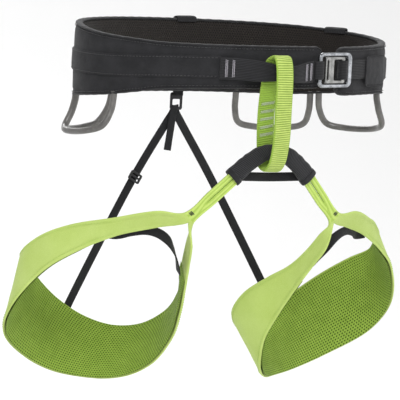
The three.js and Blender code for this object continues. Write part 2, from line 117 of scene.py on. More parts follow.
HOLE_STAGGER = 1.732  # rows of a hexagonal grid, in its pitch
SIDES = (("left", 1), ("right", -1))


# ---- curves ----

class Path:
    """A centripetal Catmull-Rom curve through points, with places by share of its length."""

    DIVISIONS = 200
    NEAR = 0.0008  # the share of the length on either side that gives the heading

    def __init__(self, points, closed=False):
        self.points = [Vector(p) for p in points]
        self.closed = closed
        self.marks = [0.0]
        last = self.at(0)
        for i in range(1, self.DIVISIONS + 1):
            here = self.at(i / self.DIVISIONS)
            self.marks.append(self.marks[-1] + (here - last).length)
            last = here
        self.length = self.marks[-1]

    def at(self, t):
        """The curve's point at t, which counts the points, not the length."""
        p = self.points
        n = len(p)
        place = (n - (0 if self.closed else 1)) * t
        k = math.floor(place)
        weight = place - k
        if not self.closed and k >= n - 1:
            k = n - 2
            weight = 1.0
        one = p[k % n]
        two = p[(k + 1) % n]
        before = p[(k - 1) % n] if self.closed or k > 0 else 2 * one - two
        after = p[(k + 2) % n] if self.closed or k + 2 < n else 2 * two - one
        return self.blend(before, one, two, after, weight)

    @staticmethod
    def blend(a, b, c, d, w):
        step = (c - b).length ** 0.5 or 1.0
        first = (b - a).length ** 0.5 or step
        last = (d - c).length ** 0.5 or step
        leave = ((b - a) / first - (c - a) / (first + step) + (c - b) / step) * step
        arrive = ((c - b) / step - (d - b) / (step + last) + (d - c) / last) * step
        square = 3 * (c - b) - 2 * leave - arrive
        cube = 2 * (b - c) + leave + arrive
        return b + leave * w + square * w ** 2 + cube * w ** 3

    def share(self, s):
        """The point at a share of the curve's length."""
        return self.at(self.turn(s))

    def turn(self, s):
        goal = s * self.length
        low = min(bisect.bisect_right(self.marks, goal), self.DIVISIONS) - 1
        span = self.marks[low + 1] - self.marks[low] or 1.0
        return (low + (goal - self.marks[low]) / span) / self.DIVISIONS

    def heading(self, s):
        low, high = s - self.NEAR, s + self.NEAR
        if self.closed:
            low, high = low % 1.0, high % 1.0
        return (self.share(min(high, 1)) - self.share(max(low, 0))).normalized()


def spline_height(points, degrees):
    """Height of a belt edge at an angle, on a uniform Catmull-Rom spline through its points."""
    n = len(points)

    def at(t):
        place = (n - 1) * t
        k = min(int(place), n - 2)
        w = place - k
        quad = [points[min(max(k + j, 0), n - 1)] for j in (-1, 0, 1, 2)]
        out = []
        for axis in (0, 1):
            a, b, c, d = (q[axis] for q in quad)
            leave, arrive = 0.5 * (c - a), 0.5 * (d - b)
            out.append(
                (2 * b - 2 * c + leave + arrive) * w ** 3
                + (-3 * b + 3 * c - 2 * leave - arrive) * w ** 2 + leave * w + b)
        return out

    low, high = 0.0, 1.0
    for _ in range(24):
        middle = (low + high) / 2
        if at(middle)[0] < degrees:
            low = middle
        else:
            high = middle
    return at(low)[1]


def belt_normal(degrees):
    t = math.radians(degrees)
    return Vector((math.cos(t) / WAIST_HALF_X, math.sin(t) / WAIST_HALF_Y, 0)).normalized()


def belt_place(degrees, outward, z):
    t = math.radians(degrees)
    face = Vector((WAIST_HALF_X * math.cos(t), WAIST_BACK_SHIFT + WAIST_HALF_Y * math.sin(t), z))
    return face + belt_normal(degrees) * outward


def belt_top(degrees):
    return spline_height([(d, top) for d, top, _ in BELT_EDGES], degrees)


def belt_bottom(degrees):
    return spline_height([(d, low) for d, _, low in BELT_EDGES], degrees)


def belt_middle(degrees):
    return (belt_bottom(degrees) + belt_top(degrees)) / 2


def hill(value, width):
    """A smooth hump, 1 at 0, that has faded beyond twice the width."""
    return math.exp(-(value / width) ** 2)


def rounding(v, fullness):
    """A flat rise with rounded ends at v = -1 and 1; a higher fullness has tighter ends."""
    return max(1 - abs(v) ** fullness, 0) ** 0.5


def smooth(low, high, value):
    share = min(max((value - low) / (high - low), 0), 1)
    return share * share * (3 - 2 * share)


def cosines(count):
    """Places from 1 to -1, closer together near both ends."""
    return [math.cos(math.pi * k / count) for k in range(count + 1)]


def weave_widths(front, back, span):
    """The weave's places round a ring, whose front and back are shares of its width."""
    return [span * share for share in front] + [BACK_WEAVE + span * share for share in back]


def belt_widths(front, back, span):
    return weave_widths([0.5 + 0.5 * v for v in front], [0.5 + 0.5 * v for v in back], span)


def ripple(p, size, seed=0.0):
    """Smooth noise from -1 to 1 at a place in millimetres."""
    return noise.noise(Vector((p[0] / size + seed, p[1] / size - seed, p[2] / size)))


# ---- meshes ----

def add_object(name, data):
    added = bpy.data.objects.new(name, data)
    bpy.context.scene.collection.objects.link(added)
    return added


def mesh_object(name, mesh, material, sharp):
    """Puts a mesh in the scene, smooth but for edges bent more than sharp degrees."""
    mesh.materials.clear()
    mesh.materials.append(material)
    mesh.polygons.foreach_set("use_smooth", [True] * len(mesh.polygons))
    mesh.set_sharp_from_angle(angle=math.radians(sharp))
    mesh.update()
    return add_object(name, mesh)


def make_object(name, vertices, faces, uvs, material, sharp=40):
    """A smooth-shaded object from millimetres. uvs has one pair for each face corner, in mm."""
    mesh = bpy.data.meshes.new(name)
    mesh.from_pydata([Vector(v) * MM for v in vertices], [], faces)
    if uvs:
        layer = mesh.uv_layers.new(name="weave")
        flat = [value for pair in uvs for value in pair]
        layer.data.foreach_set("uv", flat)
    return mesh_object(name, mesh, material, sharp)


def volume_sign(vertices, faces):
    total = 0.0
    for face in faces:
        a = vertices[face[0]]
        for k in range(1, len(face) - 1):
            total += a.dot(vertices[face[k]].cross(vertices[face[k + 1]]))
    return total


class Shell:
    """Vertices, faces and weave coordinates of one object, gathered part by part."""

    def __init__(self):
        self.vertices = []
        self.faces = []
        self.uvs = []

    def rings(self, rings, marks, widths, closed=False):
        """Joins closed rings of equal counts. marks is each ring's place along the piece and
        widths each ring point's place round it, for the weave, in millimetres."""
        start = len(self.vertices)
        count = len(rings[0])
        vertices = [p for ring in rings for p in ring]
        faces, uvs = [], []
        rows = len(rings) if closed else len(rings) - 1
        for row in range(rows):
            after = (row + 1) % len(rings)
            for k in range(count):
                l = (k + 1) % count
                faces.append((row * count + k, row * count + l, after * count + l, after * count + k))
                mark = marks[row + 1] if row + 1 < len(marks) else marks[-1]
                right = widths[k + 1] if k + 1 < len(widths) else widths[0]
                uvs.extend([(marks[row], widths[k]), (marks[row], right),
                            (mark, right), (mark, widths[k])])
        if not closed:
            last = (len(rings) - 1) * count
            faces.append(tuple(reversed(range(count))))
            uvs.extend((marks[0], widths[k]) for k in reversed(range(count)))
            faces.append(tuple(last + k for k in range(count)))
            uvs.extend((marks[-1], widths[k]) for k in range(count))
        if volume_sign(vertices, faces) < 0:
            turned_faces, turned_uvs, corner = [], [], 0
            for face in faces:
                turned_faces.append(tuple(reversed(face)))
                turned_uvs.extend(reversed(uvs[corner:corner + len(face)]))
                corner += len(face)
            faces, uvs = turned_faces, turned_uvs
        self.vertices.extend(vertices)
        self.faces.extend(tuple(start + k for k in face) for face in faces)
        self.uvs.extend(uvs)
        return self

    def place(self, name, material, body, slot, *nodes, sharp=40):
        """Builds the object and says which body it rides and the nodes it replaces; the slot is not
        used.
        """
        piece = make_object(name, self.vertices, self.faces, self.uvs, material, sharp)
        return place_piece(piece, body, slot, *nodes)


def strip_section(columns):
    """Places across a strap, -1 to 1, closer together near its edges."""
    return [math.sin(math.pi / 2 * (2 * k / columns - 1)) for k in range(columns + 1)]


def ribbon(frames, half_width, half_thick, columns=10, relief=None, closed=False,
           crown=0.0, full=6):
    """A strap with rounded edges. frames holds (centre, across, out, distance) rows;
    half_width may be a function of the row; relief(distance, across, face) raises it, in mm."""
    spots = strip_section(columns)
    ring_spots = [(v, 1) for v in spots] + [(v, -1) for v in reversed(spots[1:-1])]
    rings, marks = [], []
    for row, (centre, across, out, distance) in enumerate(frames):
        half = half_width(row) if callable(half_width) else half_width
        ring = []
        for v, face in ring_spots:
            height = half_thick * rounding(v, full) * face
            height += crown * (1 - v * v)
            if relief:
                height += face * relief(distance, v * half, face) * max(1 - abs(v) ** 16, 0)
            ring.append(centre + across * (v * half) + out * height)
        rings.append(ring)
        marks.append(distance)
    if closed:
        step = (frames[0][0] - frames[-1][0]).length
        marks.append(marks[-1] + step)
    half = half_width(0) if callable(half_width) else half_width
    widths = [v * half + (0 if face > 0 else 3 * half) for v, face in ring_spots]
    return Shell().rings(rings, marks, widths, closed)


def strap_frames(path, steps, width, closed=False):
    """Rows for a ribbon along a path; width is the way of its width, made square to the path."""
    frames = []
    for i in range(steps if closed else steps + 1):
        s = i / steps
        along = path.heading(s)
        across = Vector(width)
        across = (across - along * across.dot(along)).normalized()
        out = along.cross(across).normalized()
        frames.append((path.share(s), across, out, s * path.length))
    return frames


def circle(centre, side, other, radius, sides):
    turns = (2 * math.pi * k / sides for k in range(sides))
    return [centre + (side * math.cos(a) + other * math.sin(a)) * radius for a in turns]


def tube(path, steps, radius, sides):
    """A round tube along a path; radius is a function of the share of its length."""
    rings, marks = [], []
    side = None
    for i in range(steps + 1):
        s = i / steps
        along = path.heading(s)
        if side is None:
            side = along.orthogonal().normalized()
        side = (side - along * side.dot(along)).normalized()
        other = along.cross(side)
        rings.append(circle(path.share(s), side, other, radius(s), sides))
        marks.append(s * path.length)
    widths = [2 * math.pi * radius(0.5) * k / sides for k in range(sides + 1)]
    return Shell().rings(rings, marks, widths)


THREAD_SIDES = 5
THREAD_TIP = 0.55  # a thread's radius where it goes into the cloth, of its full radius


def thread(shell, points, radius=0.3):
    """Adds one run of thread through points, a short straight-sided tube."""
    rings, marks, distance = [], [], 0.0
    for i, centre in enumerate(points):
        before, after = points[max(i - 1, 0)], points[min(i + 1, len(points) - 1)]
        along = (after - before).normalized()
        side = along.cross(Vector((0.31, 0.55, 0.77))).normalized()
        other = along.cross(side)
        if i:
            distance += (centre - points[i - 1]).length
        r = radius * (THREAD_TIP if i in (0, len(points) - 1) else 1)
        rings.append(circle(centre, side, other, r, THREAD_SIDES))
        marks.append(distance)
    shell.rings(rings, marks, list(range(THREAD_SIDES + 1)))


def stitch_row(shell, place, length, pitch=3.2, share=0.68, radius=0.28):
    """Adds stitches along a line. place(distance) gives a point and the face's outward way."""
    count = max(int(length / pitch), 1)
    for i in range(count):
        start = (i + 0.5 - share / 2) * length / count
        run = share * length / count
        points = []
        for k, lift in ((0, -0.15), (0.2, 0.18), (0.5, 0.24), (0.8, 0.18), (1, -0.15)):
            spot, out = place(start + run * k)
            points.append(spot + out * lift)
        thread(shell, points, radius)


def bar_tack(shell, centre, along, across, out, length, width, turns, radius=0.3):
    """Adds a dense zigzag of thread. length lies along across and width along along."""
    points = []
    for i in range(turns + 1):
        side = 0.5 if i % 2 else -0.5
        spot = centre + across * (length * (i / turns - 0.5)) + along * (width * side)
        points.append(spot + out * (0.1 + 0.1 * (i % 2)))
    thread(shell, points, radius)


def railed_tack(centre, along, across, out, length, width, turns, radius, rails):
    """A bar tack with two long threads through it. rails holds how far they lie from its
    middle and below its zigzag, the places of their bends, and their radius."""
    apart, sink, bends, rail_radius = rails
    shell = Shell()
    bar_tack(shell, centre, along, across, out, length, width, turns, radius)
    for side in (-1, 1):
        middle = centre - out * sink + along * side * apart
        thread(shell, [middle + across * bend for bend in bends], rail_radius)
    return shell


# ---- materials ----

class Weave:
    """A node material with short calls for patterns in the object's own weave coordinates."""

    def __init__(self, name):
        self.material = bpy.data.materials.new(name)
        self.material.use_nodes = True
        self.tree = self.material.node_tree
        self.tree.nodes.clear()
        self.shader = self.tree.nodes.new("ShaderNodeBsdfPrincipled")
        output = self.tree.nodes.new("ShaderNodeOutputMaterial")
        self.link(self.shader.outputs[0], output.inputs[0])

    def link(self, source, target):
        self.tree.links.new(source, target)

    def set(self, **values):
        for name, value in values.items():
            socket = self.shader.inputs[name.replace("_", " ")]
            socket.default_value = value

    def feed(self, socket, value):
        if isinstance(value, (int, float)):
            socket.default_value = value
        elif isinstance(value, (tuple, list)):
            socket.default_value = tuple(value) + ((1.0,) if len(value) == 3 else ())
        else:
            self.link(value, socket)

    def math(self, operation, *values):
        node = self.tree.nodes.new("ShaderNodeMath")
        node.operation = operation
        for socket, value in zip(node.inputs, values):
            self.feed(socket, value)
        return node.outputs[0]

    def cloth(self):
        """Distances along and across the strap or band, in millimetres."""
        if not hasattr(self, "cloth_axes"):
            place = self.tree.nodes.new("ShaderNodeUVMap")
            place.uv_map = "weave"
            split = self.tree.nodes.new("ShaderNodeSeparateXYZ")
            self.link(place.outputs[0], split.inputs[0])
            self.cloth_axes = (split.outputs[0], split.outputs[1])
        return self.cloth_axes

    def space(self, scale=1.0):
        """The object's own coordinates, in millimetres over scale."""
        place = self.tree.nodes.new("ShaderNodeTexCoord")
        size = self.tree.nodes.new("ShaderNodeVectorMath")
        size.operation = "SCALE"
        self.link(place.outputs["Object"], size.inputs[0])
        size.inputs["Scale"].default_value = 1000.0 / scale
        return size.outputs[0]

    def noise(self, size, detail=3.0, roughness=0.55):
        node = self.tree.nodes.new("ShaderNodeTexNoise")
        self.link(self.space(size), node.inputs["Vector"])
        node.inputs["Scale"].default_value = 1.0
        node.inputs["Detail"].default_value = detail
        node.inputs["Roughness"].default_value = roughness
        return node.outputs["Fac"]

    def wave(self, coordinate, pitch, phase=0.0):
        """0 to 1 and back once each pitch."""
        turn = self.math("MULTIPLY_ADD", coordinate, 2 * math.pi / pitch, phase)
        return self.math("MULTIPLY_ADD", self.math("SINE", turn), 0.5, 0.5)

    def ramp(self, value, low, high, start=0.0, end=1.0):
        node = self.tree.nodes.new("ShaderNodeMapRange")
        node.interpolation_type = "SMOOTHSTEP"
        self.feed(node.inputs["Value"], value)
        for name, number in (("From Min", low), ("From Max", high),
                             ("To Min", start), ("To Max", end)):
            node.inputs[name].default_value = number
        return node.outputs["Result"]

    def mix(self, share, one, two):
        """A blend of two colours, which are sockets, values or six-digit numbers."""
        one, two = (shade(c) if isinstance(c, int) else c for c in (one, two))
        node = self.tree.nodes.new("ShaderNodeMix")
        node.data_type = "RGBA"
        self.feed(node.inputs["Factor"], share)
        self.feed(node.inputs["A"], one)
        self.feed(node.inputs["B"], two)
        return node.outputs["Result"]

    def holes(self, pitch):
        """Distance in millimetres from the nearest hole of a staggered grid."""
        along, over = self.cloth()

        def grid(shift):
            square = []
            for axis, step in ((along, pitch), (over, pitch * HOLE_STAGGER)):
                cell = self.math("FRACT", self.math("MULTIPLY_ADD", axis, 1 / step, shift))
                from_middle = self.math("MULTIPLY", self.math("SUBTRACT", cell, 0.5), step)
                square.append(self.math("MULTIPLY", from_middle, from_middle))
            return self.math("SQRT", self.math("ADD", *square))

        return self.math("MINIMUM", grid(0.0), grid(0.5))

    def finish(self, color, roughness, height=None, depth=0.2):
        """color, roughness and height are values or sockets; depth is the bump's, in mm."""
        self.feed(self.shader.inputs["Base Color"], color)
        self.feed(self.shader.inputs["Roughness"], roughness)
        if height is not None:
            bump = self.tree.nodes.new("ShaderNodeBump")
            bump.inputs["Strength"].default_value = 1.0
            bump.inputs["Distance"].default_value = depth * MM
            self.feed(bump.inputs["Height"], height)
            self.link(bump.outputs[0], self.shader.inputs["Normal"])
        return self.material


def shade(hex_color):
    """A colour in Blender's linear values from its usual six digits."""
    parts = [(hex_color >> shift & 255) / 255 for shift in (16, 8, 0)]
    return tuple(p / 12.92 if p <= 0.04045 else ((p + 0.055) / 1.055) ** 2.4 for p in parts)


def plain_weave(w, pitch):
    """Height of a plain weave, 0 to 1."""
    along, over = w.cloth()
    return w.math("MULTIPLY", w.wave(along, pitch), w.wave(over, pitch, 1.3))


def woven_fabric(name, dark, light, pitch=0.9, sheen=0.25, roughness=0.82, mottle=14.0):
    """A close flat fabric with a fine weave, soft mottling and a little wrinkling."""
    w = Weave(name)
    weave = plain_weave(w, pitch)
    cloud = w.noise(mottle, 4.0)
    grain = w.noise(1.1, 2.0)
    share = w.math("MULTIPLY_ADD", cloud, 0.45, w.math("MULTIPLY", weave, 0.3))
    share = w.math("MULTIPLY_ADD", grain, 0.25, share)
    color = w.mix(w.ramp(share, 0.15, 0.8), dark, light)
    fold = w.noise(7.0, 3.0)
    height = w.math("MULTIPLY_ADD", fold, 2.2, w.math("MULTIPLY", weave, 0.45))
    w.set(Sheen_Weight=sheen, Sheen_Roughness=0.5, Specular_IOR_Level=0.3)
    return w.finish(color, w.ramp(cloud, 0.2, 0.8, roughness + 0.08, roughness - 0.06),
                    height, 0.22)


def ribbed_webbing_painted_shade(name, dark, light, rib=1.5, ribs_across=True, strands=1.1, sheen=0.2,
                   edge_tone=None, depth=0.3, bias=0.0):
    """Woven tape: ribs across it or along it, with fine strands the other way. The colour is painted
    shade in the rib grooves and a painted highlight on the crests, over a random tone.
    """
    w = Weave(name)
    along, over = w.cloth()
    rib_axis, strand_axis = (along, over) if ribs_across else (over, along)
    ribs = w.wave(w.math("MULTIPLY_ADD", strand_axis, bias, rib_axis), rib)
    ribs = w.math("POWER", ribs, 0.6)
    fine = w.wave(strand_axis, strands)
    cloud = w.noise(9.0, 4.0)
    # painted shade and highlight: the colour follows the ribs, dark in the grooves and light on the
    # crests; the cloud adds a random tone
    share = w.math("MULTIPLY_ADD", ribs, 0.62, w.math("MULTIPLY", fine, 0.22))
    share = w.math("MULTIPLY_ADD", cloud, 0.4, share)
    color = w.mix(w.ramp(share, 0.15, 1.1), dark, light)
    if edge_tone:
        from_edge = w.math("ABSOLUTE", w.math("DIVIDE", over, STRAP_HALF))
        color = w.mix(w.ramp(from_edge, 0.80, 0.97), color, edge_tone)
    height = w.math("MULTIPLY_ADD", fine, 0.3, ribs)
    w.set(Sheen_Weight=sheen, Sheen_Roughness=0.45, Specular_IOR_Level=0.3)
    return w.finish(color, w.ramp(ribs, 0, 1, 0.9, 0.66), height, depth)


def spacer_mesh(name, hole_color, dark, light, pitch=3.0, hole=0.62, sheen=0.3):
    """Knitted mesh: staggered small holes in a knit of diagonal threads."""
    w = Weave(name)
    along, over = w.cloth()
    distance = w.holes(pitch)
    open_share = w.ramp(distance, hole * 0.7, hole * 1.5)
    slant = w.math("ADD", w.math("MULTIPLY", over, HOLE_STAGGER), along)
    counter = w.math("SUBTRACT", w.math("MULTIPLY", over, HOLE_STAGGER), along)
    knit = w.math("MAXIMUM", w.wave(slant, pitch / 2.0, 1.57), w.wave(counter, pitch / 2.0, 1.57))
    cloud = w.noise(12.0, 3.0)
    share = w.math("MULTIPLY_ADD", knit, 0.6, w.math("MULTIPLY", cloud, 0.4))
    body = w.mix(w.ramp(share, 0.3, 1.0), dark, light)
    color = w.mix(open_share, hole_color, body)
    height = w.math("MULTIPLY_ADD", knit, 0.22, open_share)
    w.set(Sheen_Weight=sheen, Sheen_Roughness=0.5, Specular_IOR_Level=0.25)
    return w.finish(color, w.ramp(open_share, 0, 1, 0.98, 0.8), height, 0.45)


def thread_finish(name, dark, light):
    w = Weave(name)
    ply = w.wave(w.cloth()[0], 0.7)
    color = w.mix(w.math("MULTIPLY_ADD", w.noise(3.0), 0.6, w.math("MULTIPLY", ply, 0.4)),
                  dark, light)
    w.set(Sheen_Weight=0.3)
    return w.finish(color, 0.62, ply, 0.08)


BELAY_ROUND = Path(BELAY_PATH, True).length
BELAY_RIB = BELAY_ROUND / round(BELAY_ROUND / 2.3)  # the ribs come round to meet
BAND_WEAVE = 80  # the weave's width across a leg band, from edge to edge
STRAP_RIB = BAND_WEAVE / 2
BELT_FABRIC = woven_fabric("belt_fabric", 0x141416, 0x29292c, 0.8, 0.10, 0.84)
BINDING_FABRIC = woven_fabric("binding_fabric", 0x101012, 0x242427, 0.7, 0.14, 0.78)
BELT_MESH = spacer_mesh(
    "belt_mesh", 0x050404, 0x14100d, 0x241e1a, 2.7, 0.62, 0.08)
# in the ribbed webbing finishes the first colour is painted shade in the rib grooves and the second a
# painted highlight on the crests
BLACK_WEBBING = ribbed_webbing_painted_shade(
    "black_webbing", 0x0a0a0b, 0x242427, 1.6, False, 1.0, 0.10, depth=0.25)
BLACK_TAPE = ribbed_webbing_painted_shade(
    "black_tape", 0x09090a, 0x1f1f22, 0.9, True, 1.2, 0.08, depth=0.18, bias=0.5)
SLEEVE_FABRIC = ribbed_webbing_painted_shade(
    "sleeve_fabric", 0x0d0d0e, 0x2b2b2e, 1.8, True, 0.9, 0.12, depth=0.25,
    bias=0.35)
LIME_FABRIC = woven_fabric(
    "lime_fabric", 0xabc25e, 0xc1d57f, 0.8, 0.06, 0.72, 26.0)
# lime webbing and strap: the darker colour is painted groove shade and the lighter one a painted
# crest highlight, over the tape's own lime
LIME_WEBBING = ribbed_webbing_painted_shade(
    "lime_webbing", 0x678526, 0xc2d672, BELAY_RIB, True, 1.3, 0.06,
    edge_tone=0x8fb040, depth=0.45)
LIME_STRAP = ribbed_webbing_painted_shade(
    "lime_strap", 0x96b24a, 0xb9d06c, STRAP_RIB, False, 1.0, 0.06, depth=0.12)
GREEN_MESH = spacer_mesh(
    "green_mesh", 0x35500f, 0x718f2c, 0x9bb84a, 2.8, 0.62, 0.04)
PALE_THREAD = thread_finish("pale_thread", 0x8f8b94, 0xcfcbd2)
WHITE_THREAD = thread_finish("white_thread", 0xa6b48c, 0xe2e8d6)
BLACK_THREAD = thread_finish("black_thread", 0x0e0e0f, 0x222225)
LIME_THREAD = thread_finish("lime_thread", 0x8fb040, 0xb4d062)


def worn_metal(name, color, bright, roughness):
    """Bead-blasted alloy with finer, brighter wear in patches that follow noise."""
    w = Weave(name)
    grain = w.noise(0.5, 4.0, 0.7)
    cloud = w.noise(6.0, 3.0)
    tone = w.mix(w.ramp(w.math("MULTIPLY_ADD", grain, 0.4, cloud), 0.4, 1.0), color, bright)
    w.set(Metallic=1.0, Specular_IOR_Level=0.5)
    return w.finish(tone, w.ramp(cloud, 0.3, 0.7, roughness + 0.08, roughness - 0.05), grain, 0.03)


def moulded(name, dark, light, roughness):
    w = Weave(name)
    grain = w.noise(0.8, 3.0)
    w.set(Specular_IOR_Level=0.45)
    return w.finish(w.mix(w.noise(5.0), dark, light),
                    w.ramp(grain, 0.2, 0.8, roughness + 0.08, roughness - 0.06), grain, 0.05)


def tube_finish(name):
    """Slightly clear grey tube: a paler skin at grazing angles, with uneven streaks."""
    w = Weave(name)
    streak = w.noise(3.0, 3.0)
    cloud = w.noise(16.0, 2.0)
    share = w.math("MULTIPLY_ADD", streak, 0.4, w.math("MULTIPLY", cloud, 0.6))
    w.set(Sheen_Weight=0.55, Sheen_Roughness=0.22, Coat_Weight=0.3, Coat_Roughness=0.25,
          Specular_IOR_Level=0.55)
    return w.finish(w.mix(w.ramp(share, 0.25, 0.8), 0x474543, 0x676562),
                    w.ramp(streak, 0.2, 0.8, 0.46, 0.34), streak, 0.08)


SILVER = worn_metal("buckle_silver", 0x6c6e71, 0x9c9ea2, 0.24)
SATIN = worn_metal("buckle_satin", 0x757574, 0x9a9a98, 0.42)
BLACK_PLASTIC = moulded("black_plastic", 0x121214, 0x232327, 0.42)
GEAR_TUBE = tube_finish("gear_tube_grey")


def place_piece(piece, body, slot, *nodes):
    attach(piece, body)
    if nodes:
        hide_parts(*nodes)
    return piece


# ---- waist belt ----

BELT_STEP = 0.75  # degrees between the belt's rings
EDGE_MIDDLE = -3.4  # the middle of the belt's edge, out of its outer face
BODY_INNER = -3.3  # the belt body's inner edge, out of the belt's outer face
BODY_BACK_RISE = 2.4
BODY_OVER = 1.2  # how far the body passes the edges, under the bindings
BODY_FRONT = cosines(30)  # heights of a ring's points, 1 at the top edge and -1 at the bottom
BODY_BACK = [-v for v in cosines(8)[1:-1]]
LINING_OUTER = -5.0
LINING_EDGE = -5.2
LINING_PUFF = 2.2
LINING_FRONT = cosines(30)
LINING_BACK = [-v for v in cosines(6)[1:-1]]
CORNER = 9.0  # radius of the belt's end corners


def belt_degrees(start, end, step=BELT_STEP):
    count = max(int(round((end - start) / step)), 1)
    return [start + (end - start) * k / count for k in range(count + 1)]


def belt_marks(degrees):
    marks = [0.0]
    for one, two in zip(degrees, degrees[1:]):
        marks.append(marks[-1] + (belt_place(two, 0, 0) - belt_place(one, 0, 0)).length)
    return marks


def belt_rows(start, end, step=BELT_STEP):
    """(degrees, mark, distance from the nearer end) for each ring between two angles."""
    degrees = belt_degrees(start, end, step)
    marks = belt_marks(degrees)
    return [(d, mark, min(mark, marks[-1] - mark)) for d, mark in zip(degrees, marks)]


def corner_cut(from_end, radius=CORNER):
    """How far the belt's edge is drawn in near an end, for a rounded corner."""
    if from_end >= radius:
        return 0.0
    return radius - math.sqrt(max(radius ** 2 - (radius - from_end) ** 2, 0))


def belt_relief(height, low, high, middle, degrees):
    """How far the belt's outer face stands out at a height, in mm: panels, seams and folds."""
    v = (height - low) / (high - low) * 2 - 1
    relief = 0.9 * (1 - v * v)
    edge = min(height - low, high - height)
    relief -= 0.45 * hill(edge - 4.6, 0.9)
    panel = smooth(BAND_START - 6, BAND_START + 4, degrees) * smooth(
        BAND_END + 4, BAND_END - 6, degrees) if BAND_START - 6 < degrees < BAND_END + 4 else 0
    for side in (-1, 1):
        seam = height - (middle + side * (BAND_HALF_HEIGHT + 1.4))
        relief -= 0.5 * panel * hill(seam, 0.8)
    spot = belt_place(degrees, 0, height)
    relief += 0.5 * ripple(spot, 34, 3.1) + 0.22 * ripple(spot, 11, 8.7)
    return relief


def belt_body():
    rings, marks = [], []
    for d, mark, from_end in belt_rows(BELT_END_LEFT, BELT_END_RIGHT):
        cut = corner_cut(from_end)
        low, high = belt_bottom(d) - BODY_OVER + cut, belt_top(d) + BODY_OVER - cut
        middle = belt_middle(d)
        end_round = 1 - 0.55 * math.exp(-from_end / 1.2)
        ring = []
        for v in BODY_FRONT:
            height = (low + high) / 2 + v * (high - low) / 2
            rise = belt_relief(height, low, high, middle, d) - BODY_INNER
            ring.append(belt_place(d, BODY_INNER + rise * rounding(v, 14) * end_round, height))
        for v in BODY_BACK:
            height = (low + high) / 2 + v * (high - low) / 2
            ring.append(belt_place(
                d, BODY_INNER - BODY_BACK_RISE * rounding(v, 10) * end_round, height))
        rings.append(ring)
        marks.append(mark)
    shell = Shell().rings(rings, marks, belt_widths(BODY_FRONT, BODY_BACK, 66))
    piece = shell.place("belt_padded_body", BELT_FABRIC, "waist_belt", "belt_fabric",
                        "waist_shell", "waist_foam_core", sharp=50)


def belt_lining():
    """Mesh lining, a thin crowned pad on the belt's inner face."""
    rings, marks = [], []
    for d, mark, from_end in belt_rows(BELT_END_LEFT + 0.8, BELT_END_RIGHT - 0.8, 0.6):
        cut = corner_cut(from_end + 2)
        low, high = belt_bottom(d) + cut + 0.6, belt_top(d) - cut - 0.6
        ring = []
        for v in LINING_FRONT:
            height = (low + high) / 2 + v * (high - low) / 2
            spot = belt_place(d, 0, height)
            wrinkle = 0.45 * ripple(spot, 19, 1.7) + 0.2 * ripple(spot, 7, 5.2)
            puff = (LINING_PUFF + wrinkle) * rounding(v, 7)
            ring.append(belt_place(d, LINING_EDGE - puff, height))
        for v in LINING_BACK:
            height = (low + high) / 2 + v * (high - low) / 2
            ring.append(belt_place(d, LINING_OUTER, height))
        rings.append(ring)
        marks.append(mark)
    shell = Shell().rings(rings, marks, belt_widths(LINING_FRONT, LINING_BACK, 64))
    piece = shell.place("belt_lining_mesh", BELT_MESH, "waist_belt", "belt_mesh",
                        "waist_mesh_lining", sharp=60)


def belt_edge_frames(edge, side, grow):
    """Rows along a belt edge for its folded binding, round the end corners."""
    frames = []
    for d, mark, from_end in belt_rows(BELT_END_LEFT, BELT_END_RIGHT):
        height = edge(d) + side * (grow - corner_cut(from_end))
        frames.append((belt_place(d, EDGE_MIDDLE, height), belt_normal(d), UP * side, mark))
    return frames


def belt_bindings():
    for name, edge, side in (("top", belt_top, 1), ("bottom", belt_bottom, -1)):
        shell = ribbon(
            belt_edge_frames(edge, side, 0.7), 3.7, 1.3, 10,
            lambda distance, across, face: 0.12 * math.sin(distance / 1.9) * (face > 0), full=3)
        shell.place(f"belt_binding_{name}", BINDING_FABRIC, "waist_belt", "belt_fabric",
                    f"waist_binding_{name}")


def load_band():
    frames = [(belt_place(d, 1.0, belt_middle(d)), UP, belt_normal(d), mark)
              for d, mark, _ in belt_rows(BAND_START, BAND_END)]

    def folds(distance, across, face):
        return 0.25 * ripple((distance, across, 5), 26) + 0.12 * ripple((distance, across, 9), 8)

    shell = ribbon(frames, BAND_HALF_HEIGHT, 1.15, 18, folds, crown=0.35, full=10)
    shell.place("belt_load_band", BELT_FABRIC, "waist_belt", "belt_fabric", "waist_load_band")


def belt_stitching():
    """Rows of dark thread: two beside the load band and one inside each edge."""
    shell = Shell()

    def row(start, end, height_at, out):
        degrees = belt_degrees(start, end, 1)
        length = belt_marks(degrees)[-1]

        def place(distance):
            d = start + (end - start) * distance / length
            return belt_place(d, out, height_at(d)), belt_normal(d)

        stitch_row(shell, place, length)

    for side in (-1, 1):
        row(BAND_START + 1, BAND_END - 1,
            lambda d: belt_middle(d) + side * (BAND_HALF_HEIGHT - 1.8), 2.15)
    row(BELT_END_LEFT + 4, BELT_END_RIGHT - 4, lambda d: belt_top(d) - 1.4, 0.35)
    row(BELT_END_LEFT + 4, BELT_END_RIGHT - 4, lambda d: belt_bottom(d) + 1.4, 0.35)
    shell.place("belt_stitching", BLACK_THREAD, "waist_belt", "belt_fabric")


def top_tabs():
    """Tape tabs folded over the belt's top edge at the back."""
    for side, degrees in (("rear", REAR), ("left", 388)):
        frames = []
        steps = 20
        for k in range(steps + 1):
            turn = math.pi * k / steps
            out = EDGE_MIDDLE + 4.6 * math.cos(turn)
            rise = 2.2 * math.sin(turn)
            drop = -3.0 if k in (0, steps) else 0.0
            centre = belt_place(degrees, out, belt_top(degrees) + 1.7 + rise + drop)
            across = belt_normal(degrees).cross(UP).normalized()
            radial = (belt_normal(degrees) * math.cos(turn) + UP * math.sin(turn)).normalized()
            frames.append((centre, across, radial, 0.6 * k))
        shell = ribbon(frames, 11.0, 0.7, 8)
        shell.place(f"belt_top_tab_{side}", BLACK_TAPE, "waist_belt", "black_webbing",
                    f"waist_top_tab_{side}")


# ---- tie-in webbing ----

